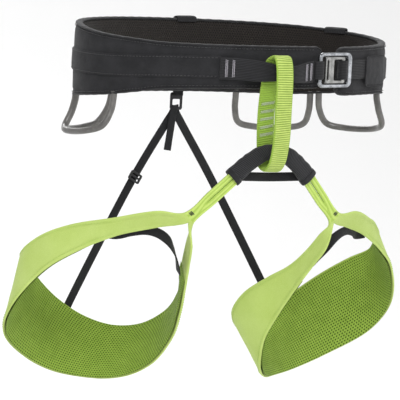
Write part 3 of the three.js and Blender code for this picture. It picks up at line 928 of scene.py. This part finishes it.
def tie_in():
    """The webbing across the front, bunched by the belay loop, and its four bar tacks."""
    path = Path(TIE_IN_PATH)
    steps = 120
    frames, halves = [], []
    for i in range(steps + 1):
        s = i / steps
        centre = path.share(s)
        out = path.heading(s).cross(UP).normalized()
        frames.append((centre, UP, out, s * path.length))
        halves.append(11 - 3.6 * hill(centre.x, 20))
    middle = path.length * 0.62

    def bunch(distance, across, face):
        near = hill(distance - middle, 24)
        fold = math.sin(across * 1.15 + 0.5 * math.sin(distance / 9)) * 0.6 + 0.7
        return near * fold + 0.15 * ripple((distance, across, 2), 9)

    shell = ribbon(frames, lambda row: halves[row], 0.95, 22, bunch, full=8)
    shell.place("tie_in_strap", BLACK_WEBBING, "waist_belt", "black_webbing", "tie_in_webbing")
    for i, s in enumerate((0.06, 0.13, 0.9, 0.96)):
        centre = path.share(s)
        along = path.heading(s)
        out = along.cross(UP).normalized()
        shell = railed_tack(centre + out * 1.5, along, UP, out, 17, 2.7, 22, 0.34,
                            (0.8, 0.15, (-8.3, -4, 0, 4, 8.3), 0.3))
        shell.place(f"tie_in_tack_{i + 1}", PALE_THREAD, "waist_belt", "stitching",
                    f"tie_in_bartack_{i + 1}")


# ---- buckle ----

BUCKLE_CENTRE = belt_place(BUCKLE_ANGLE, BUCKLE_STAND_OFF, BUCKLE_LEVEL)
BUCKLE_OUT = belt_normal(BUCKLE_ANGLE)
BUCKLE_ALONG = Vector((-BUCKLE_OUT.y, BUCKLE_OUT.x, 0))


def buckle_local(along, outward):
    return BUCKLE_CENTRE + BUCKLE_ALONG * along + BUCKLE_OUT * outward


def plate_matrix(along, out, centre):
    """Lays a plate's length along one way and its face towards another."""
    place = Matrix((along, UP, out)).transposed().to_4x4()
    place.translation = Vector(centre) * MM
    return place


CORNER_STEPS = 7


def rounded_box(x0, y0, x1, y1, radius):
    points = []
    for cx, cy, start in ((x1 - radius, y0 + radius, -90), (x1 - radius, y1 - radius, 0),
                          (x0 + radius, y1 - radius, 90), (x0 + radius, y0 + radius, 180)):
        for k in range(CORNER_STEPS + 1):
            a = math.radians(start + 90 * k / CORNER_STEPS)
            points.append((cx + radius * math.cos(a), cy + radius * math.sin(a)))
    return points


def bevelled_plate(name, outlines, thick, bevel, material, matrix, lift=0.0):
    """A plate with windows and rounded edges. outlines holds the outer loop, then windows."""
    curve = bpy.data.curves.new(name + "_outline", "CURVE")
    curve.dimensions = "2D"
    curve.fill_mode = "BOTH"
    curve.extrude = (thick / 2 - bevel) * MM
    curve.bevel_depth = bevel * MM
    curve.bevel_resolution = 4
    curve.offset = -bevel * MM
    for loop in outlines:
        spline = curve.splines.new("POLY")
        spline.points.add(len(loop) - 1)
        spline.use_cyclic_u = True
        for spot, (x, y) in zip(spline.points, loop):
            spot.co = (x * MM, y * MM, 0, 1)
    flat = add_object(name + "_outline", curve)
    bpy.context.view_layer.update()
    mesh = bpy.data.meshes.new_from_object(
        flat.evaluated_get(bpy.context.evaluated_depsgraph_get()))
    bpy.data.objects.remove(flat)
    mesh.transform(Matrix.Translation((0, 0, lift * MM)))
    mesh.transform(matrix)
    return mesh_object(name, mesh, material, 35)


def buckle():
    place = plate_matrix(BUCKLE_ALONG, BUCKLE_OUT, BUCKLE_CENTRE)
    frame_loops = [rounded_box(-22.5, -17.5, 22.5, 17.5, 6.4),
                   rounded_box(-18, -14.0, 16.6, 14.0, 2.4)]
    place_piece(
        bevelled_plate("buckle_frame_body", frame_loops, 3.2, 1.0, SILVER, place),
        "waist_belt", "buckle_metal", "buckle_frame")
    pivot = 10.8
    slider_loops = [
        rounded_box(-24.2 + pivot, -13.3, 2.2 + pivot, 13.3, 1.6),
        rounded_box(-22 + pivot, -10, -20 + pivot, 10, 0.8),
        rounded_box(-12.6 + pivot, -10.3, -2.2 + pivot, 10.3, 1.6)]
    place_piece(
        bevelled_plate("buckle_slider_body", slider_loops, 2.3, 0.7, SATIN, place, 0.2),
        "slider", "buckle_metal", "buckle_slider")


def plan_ribbon(name, node, points, steps, half_height, thick, closed=False):
    """Webbing that stands upright, from the points its middle line runs through."""
    path = Path(points, closed)
    shell = ribbon(strap_frames(path, steps, UP, closed), half_height, thick / 2, 14,
                   lambda distance, across, face: 0.06 * ripple((distance, across, 1), 5), closed)
    shell.place(name, BLACK_WEBBING, "waist_belt", "black_webbing", node)


def buckle_straps():
    def on_belt(degrees, outward):
        return belt_place(degrees, outward, BUCKLE_LEVEL)

    near = buckle_local
    plan_ribbon("waist_strap_webbing", "waist_strap", [
        on_belt(324, 1.5), on_belt(316, 1.5), on_belt(308, 1.8), near(27, -5.4), near(20, -5.1),
        near(14, -5.1), near(10.6, -4.7), near(7.5, -3), near(6.8, 0.2), near(7.9, 3.1),
        near(10.8, 4.2), near(13.5, 3.1), near(14.6, 0.2), near(15.2, -1.8), near(17, -3.1),
        near(22, -3.2), near(27, -3.3), on_belt(308, 4), on_belt(315, 3.7), on_belt(322, 3.7),
    ], 220, STRAP_HALF, 1.5)
    plan_ribbon("buckle_anchor_loop", "buckle_anchor_webbing", [
        near(-26.6, 0), near(-24.2, -2.7), near(-18.2, -2.7), near(-16.0, 0), near(-18.2, 2.7),
        near(-24.2, 2.7)], 64, 9.2, 1.4, True)


def strap_sleeve():
    """Padded cover sewn over the strap where it enters the belt's left side."""
    rows = belt_rows(309.5, 328, 0.5)
    length = rows[-1][1]
    frames, halves = [], []
    for d, mark, from_end in rows:
        out = 5.6 - 1.6 * smooth(length - 9, length, mark)
        frames.append((belt_place(d, out, belt_middle(d)), UP, belt_normal(d), mark))
        halves.append(15.6 - 0.8 * corner_cut(from_end, 6))

    def soft(distance, across, face):
        rounded = -2.6 * smooth(11.5, 15.6, abs(across)) * face
        return rounded + 0.35 * ripple((distance, across, 3), 12) + 0.15 * ripple(
            (distance, across, 8), 5)

    shell = ribbon(frames, lambda row: halves[row], 0.7, 30, soft, full=10)
    shell.place("strap_sleeve_cover", BELT_FABRIC, "waist_belt", "belt_fabric", "strap_sleeve")


# ---- belay loop ----

def belay_loop():
    path = Path(BELAY_PATH, True)
    steps = round(BELAY_ROUND / BELAY_RIB) * 6

    def ribs(distance, across, face):
        wave = 0.5 + 0.5 * math.sin(2 * math.pi * distance / BELAY_RIB)
        return 0.26 * wave ** 0.6 * (1 if abs(across) < 8.2 else 0.4)

    shell = ribbon(strap_frames(path, steps, LEFT, True), STRAP_HALF, 1.5, 20, ribs, True, full=8)
    shell.place("belay_loop_webbing", LIME_WEBBING, "belay", "lime_webbing", "belay_loop",
                sharp=60)
    for i, z in enumerate(BELAY_TACK_LEVELS):
        s = min((0.5 + 0.002 * k for k in range(250)), key=lambda t: abs(path.share(t).z - z))
        centre = path.share(s)
        along = path.heading(s)
        across = (LEFT - along * along.x).normalized()
        front = along.cross(across).normalized()
        if front.y > 0:
            front = -front
        shell = railed_tack(centre + front * 1.95, along, across, front, 14.5, 3.2, 17, 0.36,
                            (0.8, 0.15, (-7, -3, 3, 7), 0.32))
        shell.place(f"belay_tack_{i + 1}", WHITE_THREAD, "belay", "stitching",
                    f"belay_bartack_{i + 1}")


# ---- leg-loop bridge ----

BRIDGE_SIDES = 36
BRIDGE_STEPS = 150
BRIDGE_WIDTHS = [k * 1.25 for k in range(BRIDGE_SIDES + 1)]
ARCH = Path(ARCH_PATH)


def bridge_ring(s, half_side, half_depth, relief, push=0.0):
    """A rounded oblong ring round the arch, pushed along it by so many millimetres."""
    along = ARCH.heading(s)
    centre = ARCH.share(s) + along * push
    front = (along * along.y - BACK).normalized()
    side = along.cross(front).normalized()
    ring = []
    for k in range(BRIDGE_SIDES):
        a = 2 * math.pi * k / BRIDGE_SIDES
        c, n = math.cos(a), math.sin(a)
        squareness = (abs(c) ** 2.6 + abs(n) ** 2.6) ** (-1 / 2.6)
        lift = 1 + relief(s, a) / half_depth
        ring.append(centre + side * (half_side * c * squareness * lift)
                    + front * (half_depth * n * squareness * lift))
    return ring


def bridge_sleeve():
    """The padded cover over the doubled webbing, narrower in the middle, with creases."""
    def size(s):
        x = ARCH.share(s).x
        middle = hill(x, 14)
        flare = smooth(0.16, 0.0, min(s, 1 - s))
        return 8.9 - 1.7 * middle + 0.5 * flare, 4.5 - 0.4 * middle

    def creases(s, a):
        distance = s * ARCH.length
        inside = max(math.cos(a + math.pi), 0)
        wrinkle = math.sin(distance / 1.6 + 1.2 * math.sin(a) + 1.6 * ripple((distance, 3, a), 12))
        seam = -0.4 * hill(math.sin(a), 0.09) * (math.cos(a) < 0)
        return (0.03 + 0.10 * inside) * wrinkle + seam + 0.07 * ripple((distance, a * 5, 1), 16)

    rings, marks = [], []
    for i in range(BRIDGE_STEPS + 1):
        s = i / BRIDGE_STEPS
        half_side, half_depth = size(s)
        rings.append(bridge_ring(s, half_side, half_depth, creases))
        marks.append(s * ARCH.length)
    shell = Shell().rings(rings, marks, BRIDGE_WIDTHS)
    piece = shell.place("bridge_sleeve_fabric", SLEEVE_FABRIC, "bridge", "black_webbing",
                        "bridge_sleeve", sharp=60)


def bridge_cuffs():
    """A folded cuff round each end of the sleeve."""
    for name, s, way in (("left", 1, 1), ("right", 0, -1)):
        rings, marks = [], []
        profile = [(-3.2, 0.3), (-3.0, 0.75), (-2.2, 1.0), (-0.8, 1.1), (0.8, 1.1), (2.0, 1.0),
                   (2.7, 0.6), (2.8, 0.0), (2.4, -0.9)]
        for push, grow in profile:
            rings.append(bridge_ring(
                s, 9.1 + 0.6 * grow, 4.5 + 0.8 * grow,
                lambda q, a: 0.16 * math.sin(9 * a) * math.sin(4 * a + 1), push * way))
            marks.append(push)
        shell = Shell().rings(rings, marks, BRIDGE_WIDTHS)
        shell.place(f"bridge_cuff_fold_{name}", BINDING_FABRIC, "bridge", "black_webbing",
                    f"bridge_cuff_{name}", sharp=60)


def bridge_spacer():
    """The strap under the sleeve that keeps the two leg loops apart."""
    spacer = Path([(-36, -81, -108.2), (-27, -78, -108.8), (-14, -76.5, -109.2), (0, -76, -109.4),
                   (14, -76.5, -109.2), (27, -78, -108.8), (36, -81, -108.2)])
    shell = ribbon(strap_frames(spacer, 60, UP), 4.5, 0.8, 10,
                   lambda distance, across, face: 0.05 * math.sin(distance * 2.4))
    shell.place("bridge_spacer", BLACK_TAPE, "bridge", "black_webbing", "bridge_spacer_strap")


# ---- leg loops ----

STRAP_WAY = (STRAP_FORK - ARCH_END).normalized()
STRAP_RISE = Vector((-STRAP_WAY.z, 0, STRAP_WAY.x)).normalized()
FINE = 5  # rings for each of the CAD band's steps
LINING_FINE = 9
LINING_COLUMNS = 64
HEM_INSET = 3.4  # the hems' stitches, in from the band's edges
STRAP_ROWS = 6 * FINE  # rings of ribbed strap before the band widens, at each end


def leg_curves():
    def layer(near, far):
        start = ARCH_END - STRAP_WAY * 1.0
        rows = []
        for share in (0, 0.5, 1):
            place = start.lerp(STRAP_FORK, share)
            rows.append([place + STRAP_RISE * far, place + STRAP_RISE * near])
        return rows

    stations = layer(0.35, STRAP_LAYER)
    stations += [[Vector(a), Vector(b)] for a, b in LEG_STATIONS]
    stations += list(reversed(layer(-0.35, -STRAP_LAYER)))
    return Path([a for a, _ in stations]), Path([b for _, b in stations])


LEG_UPPER, LEG_LOWER = leg_curves()


def leg_frame(t):
    """Upper edge, lower edge and outward way of the left leg band at a share of its steps."""
    upper, lower = LEG_UPPER.at(t), LEG_LOWER.at(t)
    low, high = max(t - 0.004, 0), min(t + 0.004, 1)
    along = (LEG_UPPER.at(high) + LEG_LOWER.at(high)
             - LEG_UPPER.at(low) - LEG_LOWER.at(low)).normalized()
    across = (upper - lower).normalized()
    return upper, lower, along.cross(across).normalized(), along


def mirrored(p, side):
    return Vector((p[0] * side, p[1], p[2]))


def leg_rows(first, last, fine):
    """(share, distance) for each ring between two of the CAD band's steps."""
    rows, distance, previous = [], 0.0, None
    for i in range(int(first * fine), int(last * fine) + 1):
        t = i / (LEG_STEPS * fine)
        upper, lower, _, _ = leg_frame(t)
        middle = (upper + lower) / 2
        if previous is not None:
            distance += (middle - previous).length
        previous = middle
        rows.append((t, distance))
    return rows


def band_share_profile(count):
    return [0.5 - 0.5 * math.cos(math.pi * k / count) for k in range(count + 1)]


NECK_UP = 1.2  # how far the neck's edges move up, down and out, over the load core
NECK_DOWN = 4.2
NECK_OUT = 0.6


def fork_neck(step):
    """How far the outer leg keeps the strap's full width past the fork, 0 to 1."""
    return smooth(3.5, 6, step) * smooth(12, 8.5, step)


def leg_band(name, side):
    """The band's outer fabric with its inner backing, one closed form with soft edges."""
    shares = band_share_profile(28)
    inner_shares = list(reversed(band_share_profile(10)[1:-1]))
    rings, marks = [], []
    rows = leg_rows(0, LEG_STEPS, FINE)
    for row, (t, distance) in enumerate(rows):
        upper, lower, out, _ = leg_frame(t)
        neck = fork_neck(t * LEG_STEPS)
        across = (upper - lower).normalized()
        upper = upper + across * NECK_UP * neck + out * NECK_OUT * neck
        lower = lower - across * NECK_DOWN * neck + out * NECK_OUT * neck
        width = (upper - lower).length
        strapness = smooth(7.5, 6, min(t, 1 - t) * LEG_STEPS)
        ring = []
        for share in shares:
            v = 2 * share - 1
            edge = min(share, 1 - share) * width
            soft = rounding(v, 16)
            place = upper.lerp(lower, share)
            hem = 0.35 * smooth(4.6, 3.8, edge) if width > 16 else 0.0
            crease = -0.35 * hill(edge - 4.4, 0.6) if width > 16 else 0.0
            folds = 0.45 * ripple(place, 30, 2.2) + 0.16 * ripple(place, 10, 6.1)
            rib = 0.12 * strapness * math.sin(2 * math.pi * share * 2)
            lift = 0.55 + (1.5 + hem + crease + folds * min(width / 40, 1) + rib) * soft
            ring.append(mirrored(place + out * lift, side))
        for share in inner_shares:
            v = 2 * share - 1
            place = upper.lerp(lower, share)
            drop = 0.55 - 1.0 * rounding(v, 10) - 0.5 * strapness
            ring.append(mirrored(place + out * drop, side))
        rings.append(ring)
        marks.append(distance)
    shell = Shell().rings(rings, marks, weave_widths(shares, inner_shares, BAND_WEAVE))
    piece = shell.place(f"{name}_band_fabric", LIME_FABRIC, name, "lime_fabric",
                        f"{name}_shell", f"{name}_load_core", sharp=60)
    piece.data.materials.append(LIME_STRAP)
    count = len(shares) + len(inner_shares)
    total = len(rows) - 1
    for face in piece.data.polygons:
        row = face.index // count
        if row < STRAP_ROWS or row >= total - STRAP_ROWS:
            face.material_index = 1


def leg_lining(name, side):
    """Mesh pad on the band's inner side, flatter towards its ends."""
    rows = leg_rows(*LINING_SPAN, LINING_FINE)
    margin = 0.012
    cover = 1 - 2 * margin
    shares = [margin + cover * k / LINING_COLUMNS for k in range(LINING_COLUMNS + 1)]
    backs = [1 - margin - cover * k / 6 for k in range(1, 6)]
    total = rows[-1][1]
    rings, marks = [], []
    for t, distance in rows:
        upper, lower, out, _ = leg_frame(t)
        width = (upper - lower).length
        taper = smooth(0, 16, min(distance, total - distance))
        ring = []
        for share in shares:
            v = 2 * share - 1
            place = upper.lerp(lower, share)
            edge = min(share, 1 - share) * width
            puff = rounding(v, 8)
            seam = -0.5 * hill(edge - 4.6, 0.9)
            folds = 0.4 * ripple(place, 22, 4.4) + 0.15 * ripple(place, 8, 9.3)
            depth = 0.5 + (1.7 * taper + folds * taper + seam) * puff
            ring.append(mirrored(place - out * (depth + 0.35), side))
        for share in backs:
            ring.append(mirrored(upper.lerp(lower, share) - out * 0.5, side))
        rings.append(ring)
        marks.append(distance)
    shell = Shell().rings(rings, marks, weave_widths(shares, backs, 72))
    piece = shell.place(f"{name}_lining_pad", GREEN_MESH, name, "green_mesh",
                        f"{name}_mesh_lining", sharp=60)


def leg_hems(name, side):
    """A row of stitches along each hem, on the outer face."""
    rows = leg_rows(12, 56, 4)
    distances = [distance for _, distance in rows]
    shell = Shell()
    for from_top in (True, False):
        def place(distance):
            index = min(max(bisect.bisect_left(distances, distance) - 1, 0), len(rows) - 2)
            (t, mark), (next_t, next_mark) = rows[index:index + 2]
            t += (next_t - t) * (distance - mark) / (next_mark - mark)
            upper, lower, out, _ = leg_frame(t)
            width = (upper - lower).length
            share = min(HEM_INSET, width * 0.28) / width
            spot = upper.lerp(lower, share if from_top else 1 - share) + out * 2.35
            return mirrored(spot, side), mirrored(out, side)

        stitch_row(shell, place, distances[-1], 3.0, 0.66, 0.24)
    shell.place(f"{name}_hem_stitching", LIME_THREAD, name, "stitching")


def leg_tacks(name, side):
    """The riser tab's sewn block and the fork's bar tack."""
    for label, step, reach, length, width, turns, thread_kind in (
            ("riser_tab", 31.5, 0.2, 24, 5.5, 20, BLACK_THREAD),
            ("fork_bartack", 5.5, 0.42, 5.0, 3.4, 9, BLACK_THREAD)):
        t = step / LEG_STEPS
        upper, lower, out, along = leg_frame(t)
        centre = mirrored(upper.lerp(lower, reach) + out * 2.5, side)
        across = mirrored((upper - lower).normalized(), side)
        bends = [length * share for share in (-0.48, -0.2, 0.2, 0.48)]
        shell = railed_tack(centre, mirrored(along, side), across, mirrored(out, side),
                            length, width, turns, 0.4, (0.42 * width, 0, bends, 0.4))
        shell.place(f"{name}_{label}_stitches", thread_kind, name, "black_webbing",
                    f"{name}_{label}")


def leg_elastic(name, side):
    path = Path([mirrored(p, side) for p in ELASTIC_VISIBLE])
    steps = 90
    shell = ribbon(strap_frames(path, steps, (0.35 * side, 0.1, 1)),
                   lambda row: 5.2 - 0.4 * math.sin(math.pi * row / steps), 0.75, 10,
                   lambda distance, across, face: 0.07 * math.sin(distance * 3.1))
    shell.place(f"{name}_elastic_tape", BLACK_TAPE, name, "black_webbing", f"{name}_elastic")


# ---- rear risers ----

RISER_LOCK = Vector((-45, RISER_HOOK.y - 3.4, -128))
LOCK_TURN = 0.52  # the right strap's slant, which the ladder lock follows


def riser_hook():
    upright = plate_matrix(LEFT, -BACK, RISER_HOOK - UP * 4)
    loops = [rounded_box(-7, -9, 7, 9, 2.6), rounded_box(-4.4, -6, 4.4, 2, 1.2)]
    place_piece(bevelled_plate("riser_hook_body", loops, 2.2, 0.8, BLACK_PLASTIC, upright),
                "risers", "black_plastic", "riser_hook")


def riser_straps():
    hook = RISER_HOOK
    for name, sign, depth in (("left", 1, hook.y + 4), ("right", -1, hook.y + 1.6)):
        path = Path([
            (sign * 0.6, depth - 0.6, hook.z - 8.5), (sign * 2, depth, hook.z - 15),
            (sign * 9, depth, hook.z - 26), (sign * 45, depth - 2.5, -128),
            (sign * 117, 101.8, -253), (sign * 122.5, 100.4, -263)])
        shell = ribbon(strap_frames(path, 200, (1, 0, 0.57 * sign)), 4.5, 0.7, 10,
                       lambda distance, across, face: 0.05 * math.sin(distance * 2.6)
                       + 0.1 * ripple((distance, across, 4), 10))
        shell.place(f"riser_{name}_tape", BLACK_TAPE, "risers", "black_webbing",
                    f"riser_strap_{name}")
    tail = Path([(-2, hook.y - 1.4, hook.z - 9), (-3, hook.y - 0.8, hook.z - 15),
                 (-5.5, hook.y - 1, hook.z - 34), (-8, hook.y - 1, hook.z - 54)])
    fold = tail.length - 8
    shell = ribbon(strap_frames(tail, 60, LEFT), 4.1, 0.6, 10,
                   lambda distance, across, face: 0.5 * smooth(fold, fold + 1, distance)
                   + 0.04 * math.sin(distance * 2.6))
    shell.place("riser_tail_tape", BLACK_TAPE, "risers", "black_webbing", "riser_tail")


def riser_lock():
    """A ladder lock: a plate with two slots, on the right strap."""
    turn = Matrix.Rotation(LOCK_TURN, 4, "Y")
    lock = Matrix.Translation(RISER_LOCK * MM) @ turn @ plate_matrix(LEFT, -BACK, (0, 0, 0))
    loops = [rounded_box(-7, -5, 7, 5, 1.8), rounded_box(-4.8, 1, 4.8, 3, 0.6),
             rounded_box(-4.8, -3, 4.8, -1, 0.6)]
    place_piece(bevelled_plate("riser_lock_body", loops, 2.0, 0.6, BLACK_PLASTIC, lock),
                "risers", "black_plastic", "riser_ladder_lock")


def riser_anchor():
    """Tape on the belt's lower edge at the back, which the hook hangs from."""
    low = belt_bottom(REAR)
    heights = [23.5 * k / 12 - 7 for k in range(13)]
    frames = [(belt_place(REAR, 2.9, low + h), LEFT, BACK, h) for h in heights]
    shell = ribbon(frames, 6, 0.75)
    shell.place("riser_anchor_patch", BLACK_TAPE, "waist_belt", "black_webbing",
                "riser_anchor_tape")


# ---- gear loops ----

def gear_loop(name):
    start, end = GEAR_SPANS[name]

    def place(share, outward, fall):
        edge = belt_bottom(start) + (belt_bottom(end) - belt_bottom(start)) * share
        return belt_place(start + (end - start) * share, outward,
                          edge - GEAR_START - fall * GEAR_DROP)

    half = [(0, -3.2, -0.2), (0, -3, 0), (0.01, 0, 0.4), (0.08, 0.7 * GEAR_FLARE, 0.85),
            (0.28, GEAR_FLARE, 1)]
    path = Path([place(*p) for p in half]
                + [place(1 - share, outward, fall) for share, outward, fall in reversed(half)])
    shell = tube(path, 120, lambda s: 3.35 - 0.12 * hill(s - 0.5, 0.4), 18)
    shell.place(f"{name}_tube", GEAR_TUBE, name, "gear_tube", name, f"{name}_cord", sharp=60)


# ---- camera, lights and floor ----

PHOTO_TURN = math.radians(-30)
PHOTO_RISE = math.radians(5)
PHOTO_ROLL = math.radians(3)
CAMERA_FAR = 9000
FRAME_WIDTH = 400
FRAME_SHIFT = (-34, -139.5)  # the frame's middle from the origin: right and up, mm


def camera():
    forward = Vector((-math.sin(PHOTO_TURN) * math.cos(PHOTO_RISE),
                      math.cos(PHOTO_TURN) * math.cos(PHOTO_RISE), -math.sin(PHOTO_RISE)))
    level = forward.cross(UP).normalized()
    above = level.cross(forward).normalized()
    right = level * math.cos(PHOTO_ROLL) + above * math.sin(PHOTO_ROLL)
    up = above * math.cos(PHOTO_ROLL) - level * math.sin(PHOTO_ROLL)
    target = right * FRAME_SHIFT[0] + up * FRAME_SHIFT[1]
    data = bpy.data.cameras.new("photo_camera")
    data.sensor_width = 36
    data.lens = 36 * CAMERA_FAR / FRAME_WIDTH
    data.clip_start, data.clip_end = 0.05, 60
    eye = add_object("photo_camera", data)
    eye.matrix_world = Matrix((right, up, -forward)).transposed().to_4x4()
    eye.location = (target - forward * CAMERA_FAR) * MM
    bpy.context.scene.camera = eye


def area_light(name, place, aim, size, power):
    data = bpy.data.lights.new(name, "AREA")
    data.shape = "DISK"
    data.size = size
    data.energy = power
    lamp = add_object(name, data)
    lamp.location = place
    lamp.rotation_euler = (Vector(aim) - Vector(place)).to_track_quat("-Z", "Y").to_euler()


WORLD_LIGHT = 0.62
LIGHTS = [  # name, place and aim in metres, diameter in metres, power in watts
    ("key", (-1.2, -2.2, 2.0), (0, 0, -0.15), 1.3, 62),
    ("fill", (1.9, -1.6, 0.5), (0, 0, -0.15), 1.8, 16),
    ("rim", (0.6, 2.2, 1.6), (0, 0, -0.1), 1.2, 22),
]
FLOOR_LEVEL = -0.55  # the paper: a floor that bends up into a wall, in metres
FLOOR_FRONT = -6.0
FLOOR_HALF_WIDTH = 7
WALL_PLACE = 3.2
WALL_TOP = 6.0
WALL_BEND = 1.4
BEND_STEPS = 16


def clear_from_behind(material):
    """A camera that stands behind the backdrop sees through it."""
    tree = material.node_tree
    output = next(n for n in tree.nodes if n.type == "OUTPUT_MATERIAL")
    front = output.inputs["Surface"].links[0].from_socket
    side = tree.nodes.new("ShaderNodeNewGeometry").outputs["Backfacing"]
    ray = tree.nodes.new("ShaderNodeLightPath").outputs["Is Camera Ray"]
    both = tree.nodes.new("ShaderNodeMath")
    both.operation = "MULTIPLY"
    tree.links.new(side, both.inputs[0])
    tree.links.new(ray, both.inputs[1])
    mix = tree.nodes.new("ShaderNodeMixShader")
    clear = tree.nodes.new("ShaderNodeBsdfTransparent")
    tree.links.new(both.outputs[0], mix.inputs[0])
    tree.links.new(front, mix.inputs[1])
    tree.links.new(clear.outputs[0], mix.inputs[2])
    tree.links.new(mix.outputs[0], output.inputs["Surface"])


def studio():
    world = bpy.data.worlds.new("studio_world")
    world.use_nodes = True
    background = world.node_tree.nodes["Background"]
    background.inputs[0].default_value = (1, 1, 1, 1)
    background.inputs[1].default_value = WORLD_LIGHT
    bpy.context.scene.world = world
    for light in LIGHTS:
        area_light(*light)
    bpy.context.scene.view_settings.view_transform = "Standard"

    rows = [(FLOOR_FRONT, FLOOR_LEVEL)]
    for k in range(BEND_STEPS + 1):
        a = math.pi / 2 * k / BEND_STEPS
        rows.append((WALL_PLACE - WALL_BEND + WALL_BEND * math.sin(a),
                     FLOOR_LEVEL + WALL_BEND - WALL_BEND * math.cos(a)))
    rows.append((WALL_PLACE, WALL_TOP))
    vertices = [(x, y, z) for y, z in rows for x in (-FLOOR_HALF_WIDTH, FLOOR_HALF_WIDTH)]
    faces = [(k, k + 1, k + 3, k + 2) for k in range(0, 2 * len(rows) - 2, 2)]
    mesh = bpy.data.meshes.new("floor")
    mesh.from_pydata(vertices, [], faces)
    mesh.polygons.foreach_set("use_smooth", [True] * len(mesh.polygons))
    w = Weave("floor_paper")
    paper = w.finish(w.mix(w.noise(400.0), (0.975, 0.975, 0.975), (0.99, 0.99, 0.99)), 0.85)
    clear_from_behind(paper)
    mesh.materials.append(paper)
    add_object("floor", mesh)


camera()
studio()
belt_body()
belt_lining()
belt_bindings()
load_band()
belt_stitching()
top_tabs()
tie_in()
buckle()
buckle_straps()
strap_sleeve()
belay_loop()
bridge_sleeve()
bridge_cuffs()
bridge_spacer()
for side_name, side_sign in SIDES:
    leg_name = f"leg_{side_name}"
    leg_band(leg_name, side_sign)
    leg_lining(leg_name, side_sign)
    leg_hems(leg_name, side_sign)
    leg_tacks(leg_name, side_sign)
    leg_elastic(leg_name, side_sign)
riser_hook()
riser_straps()
riser_lock()
riser_anchor()
for loop_name in GEAR_SPANS:
    gear_loop(loop_name)
